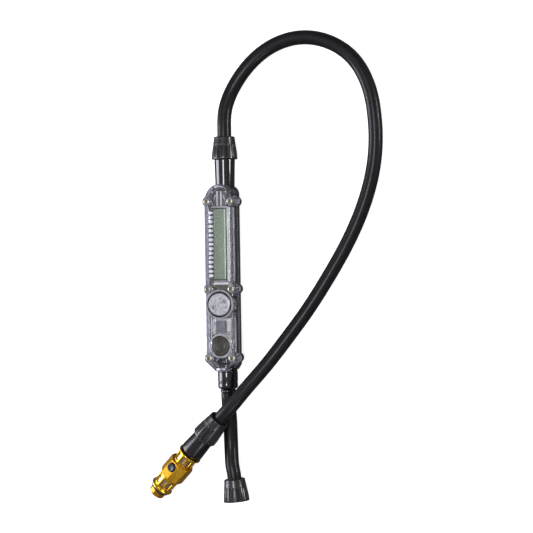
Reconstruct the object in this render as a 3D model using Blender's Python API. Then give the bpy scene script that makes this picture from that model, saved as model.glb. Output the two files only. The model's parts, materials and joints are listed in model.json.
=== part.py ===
"""In-line digital pressure gauge of a shock pump, with its hoses, coupling nut and valve chuck.

The gauge lies face up: +Y runs up the housing to the outlet hose and +Z leaves the display.
Dimensions are in millimetres and the helpers turn them into metres.
"""

import math

import bmesh
import bpy
import numpy as np
from mathutils import Matrix, Vector

MM = 0.001

# Fits
GAP = 0.3
ROUND = 24
SMALL_ROUND = 16

# Housing: a half-round rear shell under a flat clear cover, split above the air tube
REAR_R = 8.1
LAND_HALF = 3.05
AXIS_Z = math.sqrt(REAR_R**2 - LAND_HALF**2)
PARTING_Z = AXIS_Z + 2.8
FRONT_Z = AXIS_Z + 11.4
CEILING_Z = FRONT_Z - 1.6
COVER_HALF = 8.6
SHELL_TOP_HALF = 8.4
COVER_TOP = 48.6
COVER_BOTTOM = -57.0
ARCH_HALF = 4.0
CHIN_HALF = 3.5
COVER_WALL = 1.6
OVERSHOOT = 2.0
CAVITY_R = 6.4
CAVITY_TOP = 41.6
CAVITY_BOTTOM = -52.2
CAVITY_FLOOR_Z = AXIS_Z - 5.0

# Screw ears, three rows of two
SCREW_X = 7.05
SCREW_ROWS = (38.9, -10.6, -49.6)
EAR_R = 2.8
PILLAR_R = 2.6
EAR_FOOT_Z = 6.9
SCREW_HEAD_R = 1.9
SCREW_HEAD_TOP_Z = FRONT_Z + 0.3
SCREW_TIP_Z = 8.0
CLEAR_HOLE_R = 1.2

# Air tube through the housing
TUBE_TOP = 69.0
TUBE_BOTTOM = -67.4
TUBE_END_R = 5.5
TUBE_MID_R = 3.4
TUBE_HOLE_R = 5.8
AIR_BORE_R = 1.6
THREAD_R = 4.8

# Electronics stack
BOARD_Z = 11.9
BOARD_TOP_Z = BOARD_Z + 1.2
BOARD_HALF = 6.3
DISPLAY_Y = 14.8
DISPLAY_HALF_LENGTH = 20.6
DISPLAY_HALF_WIDTH = 3.9
PIN_PITCH = 2.54
PIN_COUNT = 15
CHIP_Y = -31.9
BUTTON_Y = -42.6
CELL_Y = -19.2
CELL_R = 6.25
CAP_R = 6.5
RIM_R = 8.4
RIM_Z = FRONT_Z + 0.5
SENSOR_Y = 39.8

# Hoses and their compression nuts, measured from each nut's narrow end
HOSE_R = 4.0
NUT_LENGTH = 12.75
CHUCK_NUT_LENGTH = 14.7
NUT_NARROW_R = 5.95
NUT_WIDE_R = 7.35
NUT_SOCKET_R = 5.1
NUT_BORE_R = 4.35
NUT_SHOULDER = 4.55
NUT_RIBS = 20
OUTLET_NUT_TOP = 76.05

# Chuck line: the nut's narrow end, the way the chuck points and the places along it
CHUCK_LINE_START = Vector((-2.4, -84.2, 14.8))
CHUCK_HEADING = math.radians(-134.55)
CHUCK_SLOPE = math.radians(7.6)
FLANGE_AT = 28.2
FLUTED_R = 5.95
FLANGE_R = 7.15
BLOCK_FROM = 8.3
BLOCK_TO = 19.5
BLOCK_FLATS = 14.0
BLOCK_SIDES = 8
LOW_FLANGE_FROM = 28.2
LOW_FLANGE_TO = 29.4
CHUCK_TIP = 34.7
BLEED_AT = 12.0
BLEED_ROLL = math.radians(12.0)
WINDOWS = 10

# Pump nut
PUMP_NUT_START = Vector((3.0, -118.75, 7.45))
PUMP_NUT_HEADING = math.radians(-90.0 + 5.3)

OUTLET_ROUTE = [
    (0.0, 73.2, 7.5), (0.0, 80.0, 7.45), (0.0, 86.5, 7.15), (0.9, 93.5, 6.4), (3.8, 101.6, 5.3),
    (8.6, 109.6, 4.55), (15.2, 117.2, 4.2), (23.6, 123.7, 4.1), (33.8, 128.3, 4.1), (45.2, 130.1, 4.1),
    (56.7, 128.5, 4.1), (67.3, 123.8, 4.1), (76.0, 116.5, 4.1), (82.0, 107.3, 4.1), (85.6, 97.7, 4.1),
    (87.8, 85.0, 4.1), (88.4, 72.5, 4.1), (87.2, 58.0, 4.1), (83.8, 43.4, 4.1), (77.6, 27.0, 4.15),
    (69.5, 11.0, 4.35), (59.1, -6.3, 5.3), (48.3, -23.0, 7.4), (36.2, -39.5, 10.2), (24.0, -55.0, 12.9),
    (12.9, -67.6, 14.8), (5.6, -76.1, 15.6), (-0.32, -82.09, 15.19), (-4.37, -86.2, 14.43),
]
INLET_ROUTE = [
    (0.0, -70.1, 7.5), (0.0, -72.2, 7.47), (0.0, -75.5, 7.05), (-0.1, -80.8, 5.7), (-0.2, -86.2, 4.5),
    (-0.2, -91.6, 4.12), (-0.1, -96.0, 4.1), (0.2, -101.4, 4.5), (0.8, -106.75, 5.67),
    (1.75, -112.1, 6.98), (2.79, -116.5, 7.42), (3.19, -120.84, 7.45),
]
ROUTE_STEP = 15.0
END_STRAIGHT = 3.0


# ---------------------------------------------------------------- helpers

def material(name, colour, roughness, metallic=0.0, alpha=1.0):
    """A plain Principled material."""
    result = bpy.data.materials.new(name)
    result.use_nodes = True
    shader = result.node_tree.nodes["Principled BSDF"]
    shader.inputs["Base Color"].default_value = (*colour, 1.0)
    shader.inputs["Roughness"].default_value = roughness
    shader.inputs["Metallic"].default_value = metallic
    shader.inputs["Alpha"].default_value = alpha
    return result


def axis_frame(origin, along, toward):
    """A placement with local Z along one direction and local X as near as it can be to another."""
    z_axis = Vector(along).normalized()
    toward = Vector(toward)
    x_axis = (toward - z_axis * toward.dot(z_axis)).normalized()
    y_axis = z_axis.cross(x_axis)
    turn = Matrix((x_axis, y_axis, z_axis)).transposed().to_4x4()
    return Matrix.Translation(Vector(origin) * MM) @ turn


def upright(x=0.0, y=0.0, z=0.0):
    """A placement with local Z along world Z."""
    return Matrix.Translation(Vector((x, y, z)) * MM)


def finish_mesh(name, bm, place, look):
    """Turns a bmesh into a smooth-shaded object at its place."""
    bmesh.ops.recalc_face_normals(bm, faces=bm.faces)
    mesh = bpy.data.meshes.new(name)
    bm.to_mesh(mesh)
    bm.free()
    mesh.shade_smooth()
    mesh.set_sharp_from_angle(angle=math.radians(35.0))
    thing = bpy.data.objects.new(name, mesh)
    bpy.context.scene.collection.objects.link(thing)
    thing.matrix_world = place
    if look is not None:
        mesh.materials.append(look)
    return thing


def lofted(name, rings, place, look, segments=ROUND, closed=False):
    """A skin over rings of (height, radius), where a radius may be a function of the angle.

    A closed loft joins its last ring to its first, which leaves a bore. An open one is capped.
    """
    bm = bmesh.new()
    loops = []
    for height, radius in rings:
        loop = []
        for step in range(segments):
            angle = 2.0 * math.pi * step / segments
            reach = radius(angle) if callable(radius) else radius
            point = (reach * math.cos(angle), reach * math.sin(angle), height)
            loop.append(bm.verts.new([value * MM for value in point]))
        loops.append(loop)
    pairs = list(zip(loops, loops[1:]))
    if closed:
        pairs.append((loops[-1], loops[0]))
    else:
        bm.faces.new(loops[0])
        bm.faces.new(loops[-1])
    for lower, upper in pairs:
        for step in range(segments):
            after = (step + 1) % segments
            bm.faces.new((lower[step], lower[after], upper[after], upper[step]))
    return finish_mesh(name, bm, place, look)


def tube(name, inner, outer, start, end, place, look, segments=ROUND):
    """A plain ring or sleeve."""
    rings = [(start, outer), (end, outer), (end, inner), (start, inner)]
    return lofted(name, rings, place, look, segments, closed=True)


def o_ring(name, middle, thickness, height, place, look):
    """A round-section seal."""
    half = thickness / 2.0
    corners = [2.0 * math.pi * step / 6 for step in range(6)]
    rings = [(height + half * math.sin(a), middle + half * math.cos(a)) for a in corners]
    return lofted(name, rings, place, look, closed=True)


def prism(name, outline, low, high, place, look):
    """A flat outline of (x, y) points pushed out along local Z."""
    bm = bmesh.new()
    face = bm.faces.new([bm.verts.new((x * MM, y * MM, low * MM)) for x, y in outline])
    pushed = bmesh.ops.extrude_face_region(bm, geom=[face])["geom"]
    moved = [item for item in pushed if isinstance(item, bmesh.types.BMVert)]
    bmesh.ops.translate(bm, verts=moved, vec=(0.0, 0.0, (high - low) * MM))
    return finish_mesh(name, bm, place, look)


def block(name, size, centre, look):
    """A rectangular block of (x, y, z) size about its centre."""
    half_x, half_y = size[0] / 2.0, size[1] / 2.0
    outline = [(-half_x, -half_y), (half_x, -half_y), (half_x, half_y), (-half_x, half_y)]
    return prism(name, outline, -size[2] / 2.0, size[2] / 2.0, upright(*centre), look)


def many_blocks(name, size, places):
    """Equal blocks at several placements as one cutter."""
    bm = bmesh.new()
    for place in places:
        made = bmesh.ops.create_cube(bm, size=1.0)["verts"]
        bmesh.ops.scale(bm, vec=Vector(size) * MM, verts=made)
        bmesh.ops.transform(bm, matrix=place, verts=made)
    return finish_mesh(name, bm, Matrix.Identity(4), None)


def many_posts(name, radius, low, high, spots, segments=SMALL_ROUND):
    """Equal upright cylinders at several (x, y) spots as one cutter or added shape."""
    bm = bmesh.new()
    for x, y in spots:
        place = upright(x, y, (low + high) / 2.0)
        bmesh.ops.create_cone(
            bm, cap_ends=True, segments=segments, radius1=radius * MM, radius2=radius * MM,
            depth=(high - low) * MM, matrix=place,
        )
    return finish_mesh(name, bm, Matrix.Identity(4), None)


def combine(target, tool, operation):
    """Adds an exact Boolean and keeps its tool out of the model."""
    modifier = target.modifiers.new(tool.name, "BOOLEAN")
    modifier.operation = operation
    modifier.solver = "EXACT"
    modifier.object = tool
    tool.hide_render = True
    tool.display_type = "WIRE"


def smooth_route(points, step, straight):
    """Points on the natural cubic spline through a route's points.

    They are even, apart from one near each end that keeps the end faces square.
    """
    knots = np.array(points, float)
    lengths = np.linalg.norm(np.diff(knots, axis=0), axis=1)
    at = np.concatenate([[0.0], np.cumsum(lengths)])
    count = len(knots)
    system = np.eye(count)
    wanted = np.zeros((count, 3))
    for i in range(1, count - 1):
        before, after = at[i] - at[i - 1], at[i + 1] - at[i]
        system[i, i - 1 : i + 2] = before, 2.0 * (before + after), after
        wanted[i] = 6.0 * ((knots[i + 1] - knots[i]) / after - (knots[i] - knots[i - 1]) / before)
    bend = np.linalg.solve(system, wanted)
    even = np.linspace(straight, at[-1] - straight, round(at[-1] / step) + 1)
    result = []
    for along in [0.0, *even, at[-1]]:
        i = min(int(np.searchsorted(at, along, side="right")) - 1, count - 2)
        span = at[i + 1] - at[i]
        near, far = (along - at[i]) / span, (at[i + 1] - along) / span
        curve = (far**3 - far) * bend[i] + (near**3 - near) * bend[i + 1]
        result.append(far * knots[i] + near * knots[i + 1] + curve * span**2 / 6.0)
    return result


def hose(name, route, look):
    """A hose as a round tube along a smooth route."""
    curve = bpy.data.curves.new(name, "CURVE")
    curve.dimensions = "3D"
    curve.bevel_depth = HOSE_R * MM
    curve.bevel_resolution = 3
    curve.use_fill_caps = True
    points = smooth_route(route, ROUTE_STEP, END_STRAIGHT)
    spline = curve.splines.new("POLY")
    spline.points.add(len(points) - 1)
    for point, place in zip(spline.points, points):
        point.co = (*(Vector(place) * MM), 1.0)
    curve.materials.append(look)
    thing = bpy.data.objects.new(name, curve)
    bpy.context.scene.collection.objects.link(thing)
    return thing


# ---------------------------------------------------------------- shared outlines and lines

def housing_outline():
    """The plan of the housing: arched top, six ears and a narrowed chin, anticlockwise."""
    reach = math.sqrt(EAR_R**2 - (COVER_HALF - SCREW_X) ** 2)
    flare = math.asin(reach / EAR_R)
    right = [(CHIN_HALF, COVER_BOTTOM)]
    for row in sorted(SCREW_ROWS):
        first = -math.radians(60.0) if row == min(SCREW_ROWS) else -flare
        for step in range(7):
            angle = first + (flare - first) * step / 6
            right.append((SCREW_X + EAR_R * math.cos(angle), row + EAR_R * math.sin(angle)))
    side_top = max(SCREW_ROWS) + reach
    for step in range(1, 7):
        angle = math.pi / 2 * step / 6
        x = ARCH_HALF + (COVER_HALF - ARCH_HALF) * math.cos(angle)
        right.append((x, side_top + (COVER_TOP - side_top) * math.sin(angle)))
    return right + [(-x, y) for x, y in reversed(right)]


def plain_outline(inset):
    """The plan without ears, drawn in by an inset."""
    half = COVER_HALF - inset
    top, bottom = COVER_TOP - inset, COVER_BOTTOM + inset
    right = [(CHIN_HALF, bottom), (half, bottom + 5.2)]
    for step in range(7):
        angle = math.pi / 2 * step / 6
        right.append((ARCH_HALF + (half - ARCH_HALF) * math.cos(angle), top - 7.0 + 7.0 * math.sin(angle)))
    return right + [(-x, y) for x, y in reversed(right)]


def screw_spots():
    """The (x, y) of the six screws."""
    return [(side * SCREW_X, row) for row in SCREW_ROWS for side in (-1.0, 1.0)]


GAUGE_LINE = axis_frame((0.0, 0.0, AXIS_Z), (0.0, 1.0, 0.0), (0.0, 0.0, 1.0))
OUTLET_LINE = axis_frame((0.0, OUTLET_NUT_TOP, AXIS_Z), (0.0, -1.0, 0.0), (0.0, 0.0, 1.0))
PUMP_DIRECTION = Vector((math.cos(PUMP_NUT_HEADING), math.sin(PUMP_NUT_HEADING), 0.0))
PUMP_LINE = axis_frame(PUMP_NUT_START, PUMP_DIRECTION, (0.0, 0.0, 1.0))
CHUCK_DIRECTION = Vector((
    math.cos(CHUCK_SLOPE) * math.cos(CHUCK_HEADING),
    math.cos(CHUCK_SLOPE) * math.sin(CHUCK_HEADING),
    -math.sin(CHUCK_SLOPE),
))
CHUCK_NUT_LINE = axis_frame(CHUCK_LINE_START, CHUCK_DIRECTION, (0.0, 0.0, 1.0))
CHUCK_ORIGIN = CHUCK_LINE_START + CHUCK_DIRECTION * FLANGE_AT
CHUCK_LINE = axis_frame(CHUCK_ORIGIN, CHUCK_DIRECTION, (0.0, 0.0, 1.0))
CHUCK_LINE = CHUCK_LINE @ Matrix.Rotation(BLEED_ROLL, 4, "Z")
BLEED_LINE = CHUCK_LINE @ Matrix.Translation((0.0, 0.0, BLEED_AT * MM))
BLEED_LINE = BLEED_LINE @ Matrix.Rotation(math.pi / 2, 4, "Y")


# ---------------------------------------------------------------- housing

def tube_channel():
    """The two holes for the air tube, one through each end wall."""
    ends = ((COVER_BOTTOM - 2.0, CAVITY_BOTTOM + 0.1), (CAVITY_TOP - 0.1, COVER_TOP + 2.0))
    return [
        lofted(f"tube_hole_{index}", [(low, TUBE_HOLE_R), (high, TUBE_HOLE_R)], GAUGE_LINE, None)
        for index, (low, high) in enumerate(ends)
    ]


def rear_section(radius, floor_z, top_z, top_half):
    """Half-round section in (height, x) with a flat land and upright sides above its top height."""
    drop = AXIS_Z - floor_z
    start = math.asin(drop / radius)
    side = []
    for step in range(9):
        angle = -start + start * step / 8
        side.append((radius * math.sin(angle), radius * math.cos(angle)))
    side.append((top_z - AXIS_Z, top_half))
    side.append((top_z - AXIS_Z + OVERSHOOT, top_half))
    return side + [(height, -x) for height, x in reversed(side)]


def make_rear_shell(look):
    """Half-round shell: plan and section crossed, hollowed, given ears and holes, then trimmed level."""
    top = PARTING_Z - GAP
    over = top + 2.0 * OVERSHOOT
    section = rear_section(REAR_R, 0.0, top, SHELL_TOP_HALF)
    shell = prism("rear_shell", section, COVER_BOTTOM - 1.0, COVER_TOP + 1.0, GAUGE_LINE, look)
    plan = prism("rear_plan", plain_outline(0.0), -1.0, over, upright(), None)
    combine(shell, plan, "INTERSECT")
    hollow = prism("rear_hollow", rear_section(CAVITY_R, CAVITY_FLOOR_Z, over, CAVITY_R), CAVITY_BOTTOM,
                   CAVITY_TOP, GAUGE_LINE, None)
    combine(shell, hollow, "DIFFERENCE")
    ears = many_posts("rear_ears", EAR_R, EAR_FOOT_Z, top + 0.5 * OVERSHOOT, screw_spots())
    combine(shell, ears, "UNION")
    screw_holes = many_posts("rear_screw_holes", CLEAR_HOLE_R, SCREW_TIP_Z - GAP, over, screw_spots())
    combine(shell, screw_holes, "DIFFERENCE")
    for hole in tube_channel():
        combine(shell, hole, "DIFFERENCE")
    corner = 2.0 * COVER_HALF
    outline = [
        (-corner, 2 * COVER_BOTTOM), (corner, 2 * COVER_BOTTOM), (corner, 2 * COVER_TOP),
        (-corner, 2 * COVER_TOP),
    ]
    combine(shell, prism("rear_trim", outline, top, over + OVERSHOOT, upright(), None), "DIFFERENCE")


def make_front_cover(look):
    """Clear cover: outer plan, hollow with screw pillars left, cell rim, and holes."""
    cover = prism("front_cover", housing_outline(), PARTING_Z, FRONT_Z, upright(), look)
    hollow = prism("cover_hollow", plain_outline(COVER_WALL), PARTING_Z - 1.0, CEILING_Z, upright(), None)
    combine(hollow, many_posts("pillars", PILLAR_R, PARTING_Z - 2.0, FRONT_Z, screw_spots()), "DIFFERENCE")
    combine(cover, hollow, "DIFFERENCE")
    rim = [(BOARD_TOP_Z + GAP, RIM_R), (RIM_Z - 0.4, RIM_R), (RIM_Z, RIM_R - 0.4)]
    combine(cover, lofted("cell_rim", rim, upright(0.0, CELL_Y), None), "UNION")
    well = [(BOARD_TOP_Z - 1.0, 6.6), (CEILING_Z, 6.6), (CEILING_Z, 7.4), (RIM_Z + 1.0, 7.4)]
    combine(cover, lofted("cell_well", well, upright(0.0, CELL_Y), None), "DIFFERENCE")
    button_hole = [(CEILING_Z - 1.0, 5.8), (FRONT_Z + 1.0, 5.8)]
    combine(cover, lofted("button_hole", button_hole, upright(0.0, BUTTON_Y), None), "DIFFERENCE")
    screw_holes = many_posts("cover_screw_holes", CLEAR_HOLE_R, PARTING_Z - 1.0, FRONT_Z + 1.0, screw_spots())
    combine(cover, screw_holes, "DIFFERENCE")
    seat_z = SCREW_HEAD_TOP_Z - 1.4 - GAP
    combine(cover, many_posts("screw_seats", SCREW_HEAD_R + GAP, seat_z, FRONT_Z + 1.0, screw_spots()),
            "DIFFERENCE")
    for hole in tube_channel():
        hole.name = "cover_" + hole.name
        combine(cover, hole, "DIFFERENCE")


def polygon(across_flats, sides=6):
    """Radius of an even-sided polygon with a flat at angle zero."""
    half = math.pi / sides

    def radius(angle):
        turned = (angle + half) % (2.0 * half) - half
        return across_flats / 2.0 / math.cos(turned)
    return radius


def make_cover_screws(look):
    """Six socket-head screws."""
    head = SCREW_HEAD_TOP_Z
    under = head - 1.4
    rings = [
        (SCREW_TIP_Z, 0.7), (SCREW_TIP_Z + 0.3, 1.0), (under, 1.0), (under, SCREW_HEAD_R),
        (head - 0.2, SCREW_HEAD_R), (head, SCREW_HEAD_R - 0.2), (head, polygon(1.7)),
        (head - 0.9, polygon(1.7)),
    ]
    for number, (x, y) in enumerate(screw_spots(), start=1):
        lofted(f"cover_screw_{number}", rings, upright(x, y), look, segments=12)


# ---------------------------------------------------------------- air path

def make_manifold_tube(look):
    """One turned tube with a spigot at each end, and seal grooves in the end walls."""
    groove = [(45.0, TUBE_END_R), (45.0, 4.4), (46.4, 4.4), (46.4, TUBE_END_R)]
    low_groove = [(-55.7, TUBE_END_R), (-55.7, 4.4), (-54.3, 4.4), (-54.3, TUBE_END_R)]
    rings = [
        (TUBE_BOTTOM, 4.9), (TUBE_BOTTOM + 0.8, 5.7), (-58.0, 5.7), (-57.6, TUBE_END_R), *low_groove,
        (-53.6, TUBE_END_R), (-52.8, TUBE_MID_R), (42.7, TUBE_MID_R), (43.5, TUBE_END_R), *groove,
        (COVER_TOP, TUBE_END_R), (62.6, 5.85), (63.2, THREAD_R), (TUBE_TOP - 0.4, THREAD_R),
        (TUBE_TOP, 4.4), (TUBE_TOP, AIR_BORE_R), (TUBE_BOTTOM, AIR_BORE_R),
    ]
    body = lofted("manifold_tube", rings, GAUGE_LINE, look, segments=24, closed=True)
    bore = [(AXIS_Z, 0.7), (AXIS_Z + 6.0, 0.7)]
    port = lofted("sensor_port", bore, upright(0.0, SENSOR_Y), None, segments=8)
    combine(body, port, "DIFFERENCE")


def make_tube_seals(look):
    """O-rings that seal the tube in both end walls."""
    o_ring("tube_seal_top", 5.1, 1.1, 45.7, GAUGE_LINE, look)
    o_ring("tube_seal_bottom", 5.1, 1.1, -55.0, GAUGE_LINE, look)


def make_pressure_sensor(look, rubber):
    """Sensor can over the tube's port, with its seal."""
    rings = [(11.3, 1.1), (12.9, 1.1), (12.9, 3.1), (14.6, 3.1), (15.0, 2.7)]
    lofted("pressure_sensor", rings, upright(0.0, SENSOR_Y), look, segments=SMALL_ROUND)
    o_ring("sensor_seal", 2.0, 1.0, 11.9, upright(0.0, SENSOR_Y), rubber)


def make_inlet_ferrule(look):
    """Crimp collar at the start of the inlet hose."""
    tube("inlet_ferrule", AIR_BORE_R, 4.4, TUBE_BOTTOM - 2.3, TUBE_BOTTOM - GAP, GAUGE_LINE, look)


# ---------------------------------------------------------------- electronics

def make_circuit_board(look):
    """Board with notches round the middle pillars."""
    board = block("circuit_board", (2 * BOARD_HALF, 82.0, 1.2), (0.0, -5.3, BOARD_Z + 0.6), look)
    spots = [spot for spot in screw_spots() if spot[1] == SCREW_ROWS[1]]
    combine(board, many_posts("board_notches", PILLAR_R + GAP, BOARD_Z - 1.0, BOARD_TOP_Z + 1.0, spots),
            "DIFFERENCE")


def make_display(frame_look, glass_look, pin_look):
    """Backing frame, glass and the comb of pins along its left edge."""
    wide, long = 2 * DISPLAY_HALF_WIDTH, 2 * DISPLAY_HALF_LENGTH
    block("lcd_frame", (wide + 1.2, long + 1.2, 1.2), (0.2, DISPLAY_Y, 14.0), frame_look)
    block("lcd_glass", (wide, long, 1.8), (0.2, DISPLAY_Y, 15.8), glass_look)
    first = DISPLAY_Y - PIN_PITCH * (PIN_COUNT - 1) / 2
    foot, bar, tip = 13.4, 14.2, 16.4
    outline = [(first - 1.0, foot), (first + PIN_PITCH * (PIN_COUNT - 1) + 1.0, foot)]
    for step in reversed(range(PIN_COUNT)):
        middle = first + PIN_PITCH * step
        outline += [(middle + 1.0, bar), (middle + 0.5, tip), (middle - 0.5, tip), (middle - 1.0, bar)]
    turn = Matrix(((0, 0, 1, 0), (1, 0, 0, 0), (0, 1, 0, 0), (0, 0, 0, 1)))
    prism("lcd_pins", outline, -5.9, -5.0, turn, pin_look)


def make_sensor_bridge(look):
    """Moulded bridge over the pressure sensor: a plate on two legs, with a rim and two ribs."""
    shoulder, top, narrow, wide = 43.4, 45.7, 4.2, 5.3
    right = [(3.9, 36.0), (3.9, 40.6), (wide, 42.0), (wide, shoulder), (narrow, top)]
    outline = right + [(-x, y) for x, y in reversed(right)]
    bridge = prism("sensor_bridge", outline, 15.4, 16.0, upright(), look)
    for number, x in enumerate((-1.15, 1.15), start=1):
        rib = many_blocks(f"bridge_rib_{number}", (0.9, 8.4, 0.9), [upright(x, 40.5, 16.2)])
        combine(bridge, rib, "UNION")
    combine(bridge, many_posts("bridge_legs", 0.6, 13.5, 15.7, [(-4.1, 43.9), (4.1, 43.9)]), "UNION")


def make_board_parts(chip_look, metal):
    """Controller, tactile switch and the two cell contacts."""
    block("controller_chip", (5.8, 6.4, 3.4), (-0.2, CHIP_Y, 15.1), chip_look)
    switch = [(BOARD_TOP_Z + GAP, 3.0), (14.2, 3.0), (14.2, 1.6), (14.6, 1.6)]
    lofted("button_switch", switch, upright(0.0, BUTTON_Y), metal, segments=SMALL_ROUND)
    disc = [(13.4, 2.2), (13.7, 2.2)]
    lofted("cell_contact_centre", disc, upright(0.0, CELL_Y), metal, segments=SMALL_ROUND)
    tube("cell_contact_ring", 4.2, 5.6, 13.4, 13.7, upright(0.0, CELL_Y), metal, segments=24)


def make_cell(look, cap_look, rubber):
    """Coin cell, its slotted cap and the cap's O-ring."""
    place = upright(0.0, CELL_Y)
    lofted("coin_cell", [(14.0, 5.2), (14.3, CELL_R), (16.0, CELL_R)], place, look)
    plug = [
        (16.3, 5.9), (16.6, 6.25), (CEILING_Z + 0.3, 6.25), (CEILING_Z + 0.3, CAP_R),
        (RIM_Z - 0.3, CAP_R), (RIM_Z, CAP_R - 0.3),
    ]
    cap = lofted("battery_cap", plug, place, cap_look)
    slot_turn = Matrix.Rotation(math.radians(28.0), 4, "Z")
    slot = many_blocks("coin_slot", (7.8, 1.6, 1.6), [upright(0.0, CELL_Y, RIM_Z) @ slot_turn])
    combine(cap, slot, "DIFFERENCE")
    tube("cap_seal", CAP_R + 0.2, CAP_R + 0.7, CEILING_Z + 0.3, CEILING_Z + 1.2, place, rubber)


def make_power_button(look):
    """Round button with a retaining flange under the cover and a plunger."""
    rings = [
        (15.5, 1.4), (15.9, 1.4), (15.9, 6.3), (CEILING_Z - 0.4, 6.3), (CEILING_Z - 0.4, 5.45),
        (FRONT_Z - 0.1, 5.45), (FRONT_Z + 0.3, 5.0), (FRONT_Z + 0.4, 3.5), (FRONT_Z + 0.1, 3.1),
    ]
    lofted("power_button", rings, upright(0.0, BUTTON_Y), look)


# ---------------------------------------------------------------- nuts and hose ends

def make_nut(name, length, place, look):
    """Ribbed nut from its narrow end, with a through bore and a threaded socket."""
    smooth_to = 0.34 * length

    def ribbed(outer):
        def radius(angle):
            phase = (angle * NUT_RIBS / (2.0 * math.pi)) % 1.0
            return outer if phase < 0.5 else outer - 0.7
        return radius

    rings = [
        (0.0, NUT_NARROW_R - 0.3), (0.4, NUT_NARROW_R), (smooth_to, NUT_NARROW_R + 0.3),
        (smooth_to + 0.6, ribbed(NUT_NARROW_R + 0.9)), (length - 0.5, ribbed(NUT_WIDE_R)),
        (length, NUT_WIDE_R - 0.7), (length, NUT_SOCKET_R), (NUT_SHOULDER, NUT_SOCKET_R),
        (NUT_SHOULDER, NUT_BORE_R), (0.0, NUT_BORE_R),
    ]
    lofted(name, rings, place, look, segments=3 * NUT_RIBS, closed=True)


def make_hose_tail(name, collar_at, flange_at, flange_end, place, look):
    """Flanged insert at a hose's end, with the collar that the hose meets."""
    rings = [
        (collar_at, HOSE_R), (flange_at, HOSE_R), (flange_at, 4.7), (flange_end, 4.7),
        (flange_end, AIR_BORE_R), (collar_at, AIR_BORE_R),
    ]
    lofted(name, rings, place, look, segments=24, closed=True)


def make_nuts(nut_look, metal, plastic, rubber):
    """The two compression nuts with washers and tails, and the free pump nut."""
    compression = (("outlet", NUT_LENGTH, OUTLET_LINE), ("chuck", CHUCK_NUT_LENGTH, CHUCK_NUT_LINE))
    for prefix, length, place in compression:
        make_nut(f"{prefix}_nut", length, place, nut_look)
        tube(f"{prefix}_nut_washer", 4.05, 4.8, 4.85, 5.35, place, plastic, segments=24)
        make_hose_tail(f"{prefix}_hose_tail", 3.15, 5.65, 6.75, place, metal)
    make_nut("pump_nut", NUT_LENGTH, PUMP_LINE, nut_look)
    make_hose_tail("pump_hose_tail", 2.4, 4.85, 5.75, PUMP_LINE, metal)
    tube("pump_seal", 1.8, 4.6, 6.05, 6.8, PUMP_LINE, rubber, segments=24)


# ---------------------------------------------------------------- chuck

def make_chuck_spigot(look, rubber, metal):
    """Fixed stem of the chuck: thread, skirt, swivel neck, and what seals and holds the neck."""
    start = 7.05 - FLANGE_AT
    skirt = CHUCK_NUT_LENGTH + 0.3 - FLANGE_AT
    rings = [
        (start, 4.4), (start + 0.4, THREAD_R), (skirt, THREAD_R), (skirt, 6.1), (-2.4, 6.7), (-1.2, 6.7),
        (0.0, 6.1), (0.0, 3.1), (1.8, 3.1), (1.8, 2.4), (3.2, 2.4), (3.2, 3.1), (4.2, 3.1), (4.2, 2.5),
        (4.9, 2.5), (4.9, 3.1), (5.5, 2.9), (5.5, 1.4), (start, 1.4),
    ]
    lofted("chuck_spigot", rings, CHUCK_LINE, look, segments=24, closed=True)
    o_ring("swivel_seal", 2.93, 0.8, 2.5, CHUCK_LINE, rubber)
    tube("swivel_clip", 2.6, 3.35, 4.35, 4.75, CHUCK_LINE, metal, segments=24)


def window_cutter():
    """Shallow windows round both fluted sections."""
    places = []
    for middle in (4.85, 23.9):
        for step in range(WINDOWS):
            turn = Matrix.Rotation(2.0 * math.pi * (step + 0.5) / WINDOWS, 4, "Z")
            places.append(CHUCK_LINE @ turn @ Matrix.Translation((FLUTED_R * MM, 0.0, middle * MM)))
    return many_blocks("chuck_windows", (1.1, 2.2, 4.6), places)


def make_chuck_body(look):
    """Gold body: flange, fluted section, octagon, fluted section, lower flange and stepped bore."""
    faceted = polygon(BLOCK_FLATS, BLOCK_SIDES)

    def eased(angle):
        return min(faceted(angle), BLOCK_FLATS / 2.0 + 0.25)

    rings = [
        (GAP, FLANGE_R - 0.3), (0.6, FLANGE_R), (1.2, FLANGE_R), (1.5, FLUTED_R), (BLOCK_FROM, FLUTED_R),
        (BLOCK_FROM, eased), (BLOCK_FROM + 0.5, faceted), (BLOCK_TO - 0.5, faceted), (BLOCK_TO, eased),
        (BLOCK_TO, FLUTED_R), (LOW_FLANGE_FROM, FLUTED_R), (LOW_FLANGE_FROM + 0.2, 6.65),
        (LOW_FLANGE_TO, 6.65),
        (LOW_FLANGE_TO, 4.8), (21.3, 4.8), (21.3, 2.2), (6.2, 2.2), (6.2, 3.45), (GAP, 3.45),
    ]
    body = lofted("chuck_body", rings, CHUCK_LINE, look, segments=48, closed=True)
    combine(body, window_cutter(), "DIFFERENCE")
    pocket = [(1.0, 1.1), (4.4, 1.1), (4.4, 2.9), (9.0, 2.9)]
    combine(body, lofted("bleed_pocket", pocket, BLEED_LINE, None, segments=24), "DIFFERENCE")


def make_bleed_valve(look, metal):
    """Push button on a flat of the octagon and the spring washer under it."""
    rings = [(2.9, 0.8), (6.2, 0.8), (6.2, 2.6), (7.7, 2.6), (8.0, 2.2)]
    lofted("bleed_button", rings, BLEED_LINE, look, segments=24)
    tube("bleed_spring", 1.2, 2.3, 4.7, 5.1, BLEED_LINE, metal, segments=SMALL_ROUND)


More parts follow.
